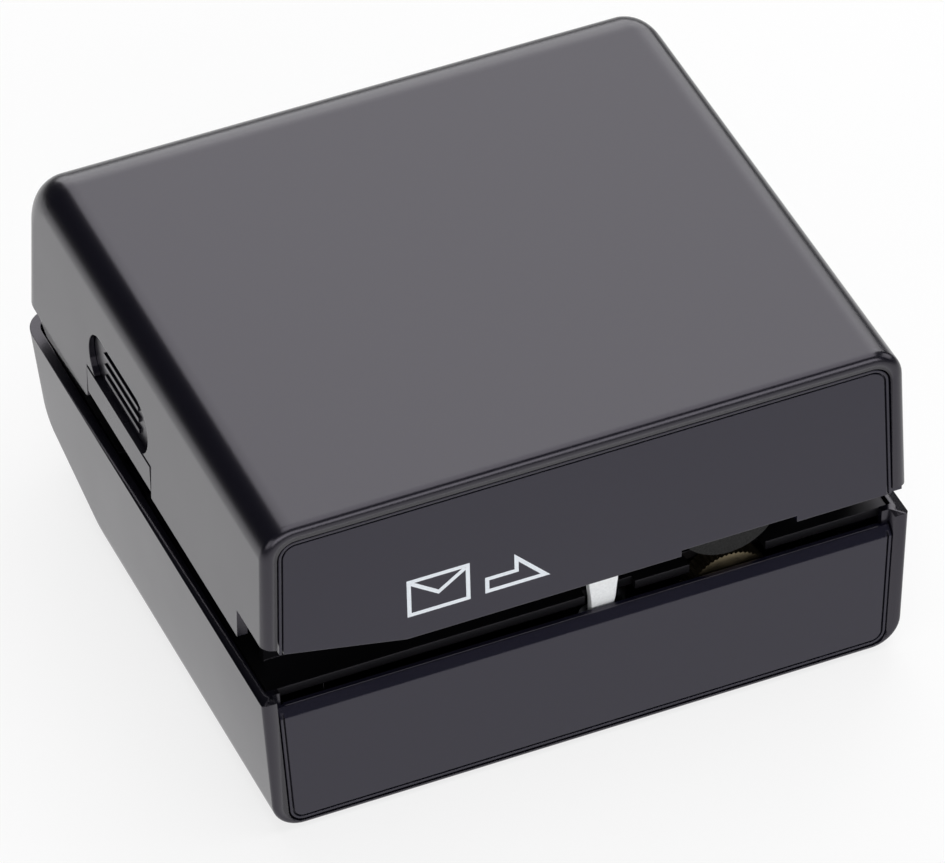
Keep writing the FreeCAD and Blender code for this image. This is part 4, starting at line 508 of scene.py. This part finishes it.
# %% Helpers for copies
SHARP = math.radians(28)
MERGE_MM = 0.001
FACE_WEIGHT = 80  # how strongly a normal leans towards the larger face


def plain_copy(piece, name):
    """The evaluated mesh of an object as a new plain object."""
    graph = bpy.context.evaluated_depsgraph_get()
    mesh = bpy.data.meshes.new_from_object(piece.evaluated_get(graph), depsgraph=graph)
    made = bpy.data.objects.new(name, mesh)
    scene.collection.objects.link(made)
    return made


def smooth_copy(node):
    """A merged, smooth copy of a piece of the frame, which stands for it."""
    shape = bmesh.new()
    shape.from_mesh(nodes[node].data)
    bmesh.ops.remove_doubles(shape, verts=shape.verts, dist=MERGE_MM * MM)
    mesh = bpy.data.meshes.new(node + "_merged")
    shape.to_mesh(mesh)
    shape.free()
    mesh.shade_smooth()
    mesh.set_sharp_from_angle(angle=SHARP)
    rough = bpy.data.objects.new(node + "_merged", mesh)
    scene.collection.objects.link(rough)
    lean = rough.modifiers.new("lean", "WEIGHTED_NORMAL")
    lean.mode = "FACE_AREA"
    lean.weight = FACE_WEIGHT
    lean.keep_sharp = True
    made = plain_copy(rough, node + "_smooth")
    bpy.data.objects.remove(rough)
    made.data.materials.clear()
    made.data.materials.append(finish[slot_of[node]])
    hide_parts(node)
    return made


body_of = {
    name: body for body, names in frame["record"]["behaviour"]["bodies"].items() for name in names
}
print("pieces that ride on a body:", len(body_of))

# %% [markdown]
# ## Which pieces are smoothed
# Only the rounded ones. On the flat mouldings, such as the front panels, the release tab, the deck and the
# battery lid, smooth normals smear the light beside every rib, so those keep the frame's own mesh. Each
# copy rides on its piece's body; the pressure spring waits, because it belongs to two.

# %% Copy the rounded pieces
ROUNDED = [
    "cover_shell", "base_shell", "start_lever",
    "roller_hub", "roller_tyre", "roller_arm", "roller_axle", "roller_pivot_pin", "motor_can",
    "motor_end_cap", "motor_shaft", "battery_cell_1", "battery_cell_2", "battery_cell_3", "battery_cell_4",
    "pressure_spring", "battery_springs", "lever_spring", "hinge_pin_front", "hinge_pin_rear", "feed_shaft",
    "cutter_shaft", "shaft_bushes", "plate_spacers", "lever_pin", "idler_pin", "switch_plunger",
]
mouldings = {node: smooth_copy(node) for node in ROUNDED}
for node, copy in mouldings.items():
    if node != "pressure_spring":
        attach(copy, body_of[node])
print("smooth copies:", len(mouldings))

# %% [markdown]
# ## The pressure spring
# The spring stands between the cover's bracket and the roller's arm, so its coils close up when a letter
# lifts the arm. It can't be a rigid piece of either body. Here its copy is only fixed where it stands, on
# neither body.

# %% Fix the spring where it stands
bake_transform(mouldings["pressure_spring"])

# %% [markdown]
# ## Small repeated parts
# Screws, moulded ribs and feet repeat, so Geometry Nodes makes them. Each tree is built once, with named
# inputs for its sizes. A modifier runs it on a few points, and the result is kept as a plain mesh.

# %% Helpers for trees
KINDS = {int: "NodeSocketInt", float: "NodeSocketFloat", tuple: "NodeSocketVector"}


def new_tree(name, **sizes):
    """A geometry tree with named inputs, and the sockets that give them inside the tree."""
    tree = bpy.data.node_groups.new(name, "GeometryNodeTree")
    tree.interface.new_socket("Geometry", in_out="INPUT", socket_type="NodeSocketGeometry")
    tree.interface.new_socket("Geometry", in_out="OUTPUT", socket_type="NodeSocketGeometry")
    for label, value in sizes.items():
        socket = tree.interface.new_socket(label, in_out="INPUT", socket_type=KINDS[type(value)])
        socket.default_value = value
    tree.interface.new_socket("Finish", in_out="INPUT", socket_type="NodeSocketMaterial")
    return tree, tree.nodes.new("NodeGroupInput").outputs


def close_tree(tree, given, instances):
    """Realises the instances, gives them their finish and joins them to the tree's output."""
    real = add_node(tree, "GeometryNodeRealizeInstances", Geometry=instances)
    painted = add_node(
        tree, "GeometryNodeSetMaterial", Geometry=real.outputs[0], Material=given["Finish"]
    )
    add_node(tree, "NodeGroupOutput", Geometry=painted.outputs[0])


def grow(name, tree, points, body, slot, stands_for=(), **sizes):
    """Runs a tree on some points and keeps the result as a plain piece on a body."""
    seed_mesh = bpy.data.meshes.new(name + "_points")
    seed_mesh.from_pydata([Vector(p) for p in points], [], [])
    holder = bpy.data.objects.new(name + "_points", seed_mesh)
    scene.collection.objects.link(holder)
    grower = holder.modifiers.new(name, "NODES")
    grower.node_group = tree
    sizes["Finish"] = finish[slot]
    for item in tree.interface.items_tree:
        if item.in_out == "INPUT" and item.name in sizes:
            grower[item.identifier] = sizes[item.name]
    made = plain_copy(holder, name)
    holder.modifiers.clear()
    bpy.data.objects.remove(holder)
    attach(made, body)
    if stands_for:
        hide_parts(*stands_for)
    low, high = (
        [round(f(v.co[i] for v in made.data.vertices) / MM, 2) for i in range(3)] for f in (min, max)
    )
    print(name, "faces:", len(made.data.polygons), "from", low, "to", high)


print("kinds of size:", [kind.__name__ for kind in KINDS])

# %% [markdown]
# ## Screws
# The screws are zinc plated, with a pan head and a cross recess that the die strikes. The head is a short
# cylinder with a cone on it, the shank is joined on underneath, and two crossed blocks are cut away from
# the top. Each screw stops at its own angle when it is driven home, so each is turned by a random angle.

# %% Tree of a pan-head screw
tree, given = new_tree(
    "pan_head_screw", head=(2.6 * MM, 2.6 * MM, 1.56 * MM), shank=(1.1 * MM, 1.1 * MM, 8.0 * MM),
    lean=(0.0, 0.0, 0.0), seed=1,
)
# The head and the shank are drawn one unit wide and high, then scaled to the given sizes.
NECK = 0.55  # share of the head's height that is a cylinder
DOME = 0.72  # radius of the flat on top
CROSS_SPAN = 1.15  # length of the recess
CROSS_WIDTH = 0.24
CROSS_DEPTH = 0.60
ROOT = 0.01  # overlap of two parts that are joined
HEAD_SIDES, SHANK_SIDES = 40, 24

neck = add_node(tree, "GeometryNodeMeshCylinder", Vertices=HEAD_SIDES, Radius=1.0, Depth=NECK)
neck_up = add_node(
    tree, "GeometryNodeTransform", Geometry=neck.outputs["Mesh"], Translation=(0.0, 0.0, NECK / 2)
)
dome = add_node(
    tree, "GeometryNodeMeshCone", Vertices=HEAD_SIDES, Radius_Top=DOME, Radius_Bottom=1.0,
    Depth=1 - NECK + ROOT,
)
dome_up = add_node(
    tree, "GeometryNodeTransform", Geometry=dome.outputs["Mesh"], Translation=(0.0, 0.0, NECK - ROOT)
)
head = add_node(
    tree, "GeometryNodeMeshBoolean", {"operation": "UNION", "solver": "EXACT"},
    _1=[neck_up.outputs[0], dome_up.outputs[0]],
)
arms = []
for size in ((CROSS_SPAN, CROSS_WIDTH, 2 * CROSS_DEPTH), (CROSS_WIDTH, CROSS_SPAN, 2 * CROSS_DEPTH)):
    arm = add_node(tree, "GeometryNodeMeshCube", Size=size)
    arm_up = add_node(
        tree, "GeometryNodeTransform", Geometry=arm.outputs["Mesh"], Translation=(0.0, 0.0, 1.0)
    )
    arms.append(arm_up.outputs[0])
struck = add_node(
    tree, "GeometryNodeMeshBoolean", {"operation": "DIFFERENCE", "solver": "EXACT"},
    _0=head.outputs[0], _1=arms,
)
head_sized = add_node(
    tree, "GeometryNodeTransform", Geometry=struck.outputs[0], Scale=given["head"]
)
shank = add_node(tree, "GeometryNodeMeshCylinder", Vertices=SHANK_SIDES, Radius=1.0, Depth=1.0)
shank_down = add_node(
    tree, "GeometryNodeTransform", Geometry=shank.outputs["Mesh"], Translation=(0.0, 0.0, ROOT - 0.5)
)
shank_sized = add_node(
    tree, "GeometryNodeTransform", Geometry=shank_down.outputs[0], Scale=given["shank"]
)
screw = add_node(
    tree, "GeometryNodeMeshBoolean", {"operation": "UNION", "solver": "EXACT"},
    _1=[head_sized.outputs[0], shank_sized.outputs[0]],
)
lean = add_node(tree, "FunctionNodeEulerToRotation", _0=given["lean"])
placed = add_node(
    tree, "GeometryNodeInstanceOnPoints", Points=given["Geometry"], Instance=screw.outputs[0],
    Rotation=lean.outputs[0],
)
angle = add_node(
    tree, "FunctionNodeRandomValue", {"data_type": "FLOAT_VECTOR"}, _0=(0.0, 0.0, 0.0),
    _1=(0.0, 0.0, math.tau), Seed=given["seed"],
)
spin = add_node(tree, "FunctionNodeEulerToRotation", _0=angle.outputs[0])
turned = add_node(
    tree, "GeometryNodeRotateInstances", Instances=placed.outputs[0], Rotation=spin.outputs[0],
    Local_Space=True,
)
close_tree(tree, given, turned.outputs[0])
screw_tree = tree
print("screw tree nodes:", len(tree.nodes))

# %% [markdown]
# The frame already holds each plain screw, so their places are measured there: the loose triangles are
# merged, each connected island is one screw, and its box gives the axis, the head and the length.

# %% Set the screws
HEAD_SHARE = 0.6  # a head's height, as a share of its radius
UP, DOWN, FORWARD = (0, 0, 1), (0, 0, -1), (0, -1, 0)
LEANS = {UP: (0.0, 0.0, 0.0), DOWN: (math.pi, 0.0, 0.0), FORWARD: (math.pi / 2, 0.0, 0.0)}


def island_boxes(node):
    """Lowest and highest corner of each connected island of a node, in metres."""
    shape = bmesh.new()
    shape.from_mesh(nodes[node].data)
    bmesh.ops.remove_doubles(shape, verts=shape.verts, dist=MERGE_MM * MM)
    left = set(shape.verts)
    boxes = []
    while left:
        island, edge = set(), [left.pop()]
        while edge:
            vert = edge.pop()
            island.add(vert)
            for link in vert.link_edges:
                other = link.other_vert(vert)
                if other in left:
                    left.discard(other)
                    edge.append(other)
        low = Vector([min(v.co[i] for v in island) for i in range(3)])
        high = Vector([max(v.co[i] for v in island) for i in range(3)])
        boxes.append((low, high))
    shape.free()
    return sorted(boxes, key=lambda b: tuple(b[0]))


def set_screws(node, towards, shank_mm, seed):
    """Puts cross-recessed screws in the place of a node's plain ones."""
    axis = 2 if towards[2] else 1
    sign = towards[axis]
    boxes = island_boxes(node)
    first = boxes[0][1] - boxes[0][0]
    radius = first.x / 2
    height = radius * HEAD_SHARE
    seats = []
    for low, high in boxes:
        seat = (low + high) / 2
        seat[axis] = high[axis] - height if sign > 0 else low[axis] + height
        seats.append(seat)
    length = first[axis] - height
    shank = shank_mm * MM
    grow(
        node + "_cross", screw_tree, seats, body_of[node], slot_of[node], (node,),
        head=(radius, radius, height), shank=(shank, shank, length / (1 - ROOT)), lean=LEANS[towards],
        seed=seed,
    )


set_screws("deck_screws", UP, 1.1, 3)
set_screws("bracket_screws", DOWN, 1.0, 5)
set_screws("motor_screws", FORWARD, 1.0, 8)

# %% [markdown]
# ## Ribs under the cover's ceiling
# A flat moulded ceiling would sink and drum, so the mould has thin ribs there, in both directions. They
# show when the cover is open. One tree sets a row of equal ribs along a step.

# %% Tree of a row of ribs
tree, given = new_tree(
    "row_of_ribs", count=4, start=(0.0, 0.0, 0.0), step=(0.0, 0.01, 0.0), size=(0.1, 0.001, 0.002)
)
line = add_node(
    tree, "GeometryNodeMeshLine", {"mode": "OFFSET"}, Count=given["count"], Start_Location=given["start"],
    Offset=given["step"],
).outputs[0]
bar = add_node(tree, "GeometryNodeMeshCube", Size=given["size"]).outputs["Mesh"]
row = add_node(tree, "GeometryNodeInstanceOnPoints", Points=line, Instance=bar).outputs[0]
close_tree(tree, given, row)
rib_tree = tree
print("rib tree nodes:", len(tree.nodes))

# %% [markdown]
# Both rows hang under the cover's ceiling, in millimetres. They stop short of the walls and leave the
# roller's bracket clear, and their roots are sunk in the ceiling so that no gap shows.

# %% Set the two rows
CEILING_Z = 73.3
RIB_HIGH = 1.6
RIB_THICK = 1.1
RIB_SINK = 0.3  # the rib's root inside the ceiling
RIB_FROM, RIB_TO = -36.0, 48.0  # along Y, behind the roller's bracket
RIB_HALF = 50.0  # along X
RIB_STEP = 21.0
RIB_COUNT = 5
RIB_RAISE = 0.02  # the second row is a hair thinner, so that no two faces lie in one plane
RIB_LESS = 0.06
rib_z = CEILING_Z + RIB_SINK / 2 - RIB_HIGH / 2
grow(
    "ceiling_ribs_across", rib_tree, [(0, 0, 0)], "cover", "graphite_plastic", count=RIB_COUNT,
    start=(0.0, RIB_FROM * MM, rib_z * MM), step=(0.0, RIB_STEP * MM, 0.0),
    size=(2 * RIB_HALF * MM, RIB_THICK * MM, (RIB_HIGH + RIB_SINK) * MM),
)
grow(
    "ceiling_ribs_along", rib_tree, [(0, 0, 0)], "cover", "graphite_plastic", count=RIB_COUNT,
    start=(-RIB_HALF * MM, (RIB_FROM + RIB_TO) / 2 * MM, (rib_z + RIB_RAISE) * MM),
    step=(RIB_HALF / 2 * MM, 0.0, 0.0),
    size=(RIB_THICK * MM, (RIB_TO - RIB_FROM) * MM, (RIB_HIGH + RIB_SINK - RIB_LESS) * MM),
)

# %% [markdown]
# ## Feet
# Each foot is a moulded rubber button: a disc with a chamfer where it meets the table and a shallow cup
# underneath, which grips a smooth table. Its top stays in the base's socket.

# %% Tree of a foot
tree, given = new_tree("rubber_foot", size=(5.0 * MM, 5.0 * MM, 1.5 * MM))
# Drawn one unit wide and high; the instances are scaled.
CHAMFER = 0.3
SOLE_RADIUS = 0.92
CUP_RADIUS = 0.62
CUP_DEPTH = 0.30
FOOT_SIDES = 48
disc = add_node(tree, "GeometryNodeMeshCylinder", Vertices=FOOT_SIDES, Radius=1.0, Depth=1 - CHAMFER)
disc_up = add_node(
    tree, "GeometryNodeTransform", Geometry=disc.outputs["Mesh"], Translation=(0.0, 0.0, (1 + CHAMFER) / 2)
)
sole = add_node(
    tree, "GeometryNodeMeshCone", Vertices=FOOT_SIDES, Radius_Top=1.0, Radius_Bottom=SOLE_RADIUS,
    Depth=CHAMFER + ROOT,
)
cup = add_node(
    tree, "GeometryNodeMeshCylinder", Vertices=FOOT_SIDES, Radius=CUP_RADIUS, Depth=2 * CUP_DEPTH
)
button = add_node(
    tree, "GeometryNodeMeshBoolean", {"operation": "UNION", "solver": "EXACT"},
    _1=[disc_up.outputs[0], sole.outputs["Mesh"]],
)
cupped = add_node(
    tree, "GeometryNodeMeshBoolean", {"operation": "DIFFERENCE", "solver": "EXACT"}, _0=button.outputs[0],
    _1=[cup.outputs["Mesh"]],
)
feet = add_node(
    tree, "GeometryNodeInstanceOnPoints", Points=given["Geometry"], Instance=cupped.outputs[0],
    Scale=given["size"],
)
close_tree(tree, given, feet.outputs[0])
print("foot tree nodes:", len(tree.nodes))

# %% [markdown]
# The frame's plain feet give the four places and the size, so the new ones stand exactly where they stood.

# %% Set the four feet
FEET = ("foot_front_left", "foot_front_right", "foot_rear_left", "foot_rear_right")
foot_boxes = [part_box(name) for name in FEET]
first_low, first_high = foot_boxes[0]
foot_spots = [((low.x + high.x) / 2, (low.y + high.y) / 2, low.z) for low, high in foot_boxes]
foot_radius = (first_high.x - first_low.x) / 2
grow(
    "rubber_feet", tree, foot_spots, "base", "rubber", FEET,
    size=(foot_radius, foot_radius, first_high.z - first_low.z),
)

# %% [markdown]
# ## Crest of the base's lip
# Letters slide over the lip of the base's front panel, so its top edge is not a sharp corner: the mould
# gives it a small crest, a fraction of a millimetre proud, that leans forward. It catches the light from
# above as one thin line right across the front. A short profile is drawn once and run along X.

# %% Run the crest along the lip
LIP_BEVEL_MM = 1.6  # the 45-degree slope below the crest, across and down
CREST_WIDE = 0.85
CREST_LEAN = math.radians(34)
CREST_BACK, CREST_DROP = 0.12, 0.05  # from the crest's top back and down to the panel
CREST_ROOT = 0.1  # how far its root is sunk in the panel
CREST_ENDS = 1.4  # from the panel's ends to the crest's
TAPER, TUCK = 0.8, 0.1  # the crest's ends taper into the panel
panel_low, panel_high = (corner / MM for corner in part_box("base_front_panel"))
FOOT_DOWN = 0.58  # from the corner of the slope to the crest's foot, down the slope
foot_y = panel_low.y + LIP_BEVEL_MM - FOOT_DOWN * math.cos(math.pi / 4)
foot_z = panel_high.z - FOOT_DOWN * math.sin(math.pi / 4)
top_y = foot_y + CREST_WIDE * math.cos(CREST_LEAN)
top_z = foot_z + CREST_WIDE * math.sin(CREST_LEAN)
profile = [
    (foot_y, foot_z), (top_y, top_z), (top_y + CREST_BACK, panel_high.z - CREST_DROP),
    (foot_y + CREST_ROOT, foot_z - CREST_ROOT),
]
from_x, to_x = panel_low.x + CREST_ENDS, panel_high.x - CREST_ENDS
stations = ((from_x, TUCK), (from_x + TAPER, 0.0), (to_x - TAPER, 0.0), (to_x, TUCK))
shape = bmesh.new()
ends = []
for x, tuck in stations:
    ends.append([shape.verts.new(Vector((x, y + tuck, z - tuck)) * MM) for y, z in profile])
for first, second in zip(ends, ends[1:]):
    for a in range(4):
        b = (a + 1) % 4
        shape.faces.new((first[a], first[b], second[b], second[a]))
shape.faces.new(ends[0])
shape.faces.new(list(reversed(ends[-1])))
bmesh.ops.recalc_face_normals(shape, faces=shape.faces)
mesh = bpy.data.meshes.new("lip_crest")
shape.to_mesh(mesh)
shape.free()
mesh.materials.append(ribbed_abs)
crest = bpy.data.objects.new("lip_crest", mesh)
scene.collection.objects.link(crest)
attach(crest, "base")
print("lip crest:", round(to_x - from_x, 1), "mm long, top at", round(top_z, 2))

# %% [markdown]
# ## Printed pictograms
# Two pale signs are pad printed on the cover's front panel: an envelope, and a half arrow that says which
# way it travels. Ink stands a few hundredths of a millimetre proud. Each sign is an outline of even width,
# so a short function walks round its corners and mitres them.

# %% Helpers for a stroke of ink
STROKE = 0.85
PANEL_FACE_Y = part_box("cover_front_panel")[0][1] / MM
INK = 0.03  # thickness
SHARPEST = 0.35  # keeps a very sharp corner from running far out


def mitred(points, width, closed):
    """Left and right sides of a stroke of even width along the points."""
    count = len(points)
    sides = []
    for i, point in enumerate(points):
        here = Vector(point)
        ahead = Vector(points[(i + 1) % count]) - here
        behind = here - Vector(points[i - 1])
        if not closed and i == 0:
            behind = ahead
        if not closed and i == count - 1:
            ahead = behind
        ahead.normalize()
        behind.normalize()
        across = Vector((-ahead.y - behind.y, ahead.x + behind.x)).normalized()
        reach = width / 2 / max(SHARPEST, across.dot(Vector((-ahead.y, ahead.x))))
        sides.append((here + across * reach, here - across * reach))
    return sides


def ink_stroke(shape, points, closed, lift):
    """Adds one stroke to the mesh as a thin solid on the panel's face."""
    sides = mitred(points, STROKE, closed)
    rings = []
    for left, right in sides:
        ring = []
        for spot, y in ((left, 0.0), (right, 0.0), (right, INK + lift), (left, INK + lift)):
            ring.append(shape.verts.new(Vector((spot.x, PANEL_FACE_Y - y, spot.y)) * MM))
        rings.append(ring)
    steps = len(rings) if closed else len(rings) - 1
    for i in range(steps):
        first, second = rings[i], rings[(i + 1) % len(rings)]
        for a, b in ((0, 1), (1, 2), (2, 3), (3, 0)):
            shape.faces.new((first[a], first[b], second[b], second[a]))
    if not closed:
        shape.faces.new(rings[0])
        shape.faces.new(list(reversed(rings[-1])))


print("panel face at y:", round(PANEL_FACE_Y, 2))

# %% [markdown]
# ## Ink
# Pad-printing ink is a thin, chalky, pale film. It lies slightly uneven on the grained plastic, so a fine
# noise mottles its colour and its roughness, and it never looks as bright or as smooth as paint. The
# mottle is drawn at 0.4 mm; a real one is finer than a view of the whole machine could show.

# %% Ink
MOTTLE_MM = 0.4

ink, tree = new_material("pad_printed_ink")
place = add_node(tree, "ShaderNodeTexCoord").outputs["Object"]
mottle = add_node(
    tree, "ShaderNodeTexNoise", Vector=place, Scale=1.0 / (MOTTLE_MM * MM), Detail=2.0
).outputs["Fac"]
tint = add_node(
    tree, "ShaderNodeMix", {"data_type": "RGBA"}, _0=mottle, _6=linear("#d3d9df"), _7=linear("#e6ebf0")
)
dull = add_node(tree, "ShaderNodeMapRange", Value=mottle, _1=NOISE_LOW, _2=NOISE_HIGH, _3=0.45, _4=0.58)
shader = add_node(
    tree, "ShaderNodeBsdfPrincipled", Base_Color=tint.outputs[2], Roughness=dull.outputs[0], IOR=1.5
)
add_node(tree, "ShaderNodeOutputMaterial", Surface=shader.outputs[0])
print("ink nodes:", len(tree.nodes))

# %% [markdown]
# ## The two signs
# The corners are given in millimetres across and up the panel. The flap's stroke lies on the envelope's, so
# it is a hundredth of a millimetre thicker, and the two faces don't flicker where they cross.

# %% Draw the envelope and the half arrow
LAYER = 0.01
ENVELOPE = [(-36.9, 45.6), (-36.9, 53.8), (-24.8, 53.8), (-24.8, 45.6)]
FLAP = [(-36.4, 53.3), (-30.85, 49.4), (-25.3, 53.3)]
HALF_ARROW = [(-20.9, 45.8), (-20.9, 48.85), (-14.8, 48.85), (-14.8, 52.0), (-8.9, 45.8)]

for name, strokes in (
    ("envelope_sign", [(ENVELOPE, True), (FLAP, False)]),
    ("half_arrow_sign", [(HALF_ARROW, True)]),
):
    shape = bmesh.new()
    for level, (points, closed) in enumerate(strokes):
        ink_stroke(shape, points, closed, LAYER * level)
    bmesh.ops.recalc_face_normals(shape, faces=shape.faces)
    mesh = bpy.data.meshes.new(name)
    shape.to_mesh(mesh)
    shape.free()
    mesh.materials.append(ink)
    sign = bpy.data.objects.new(name, mesh)
    scene.collection.objects.link(sign)
    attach(sign, "cover")
    print(name, "faces:", len(mesh.polygons))
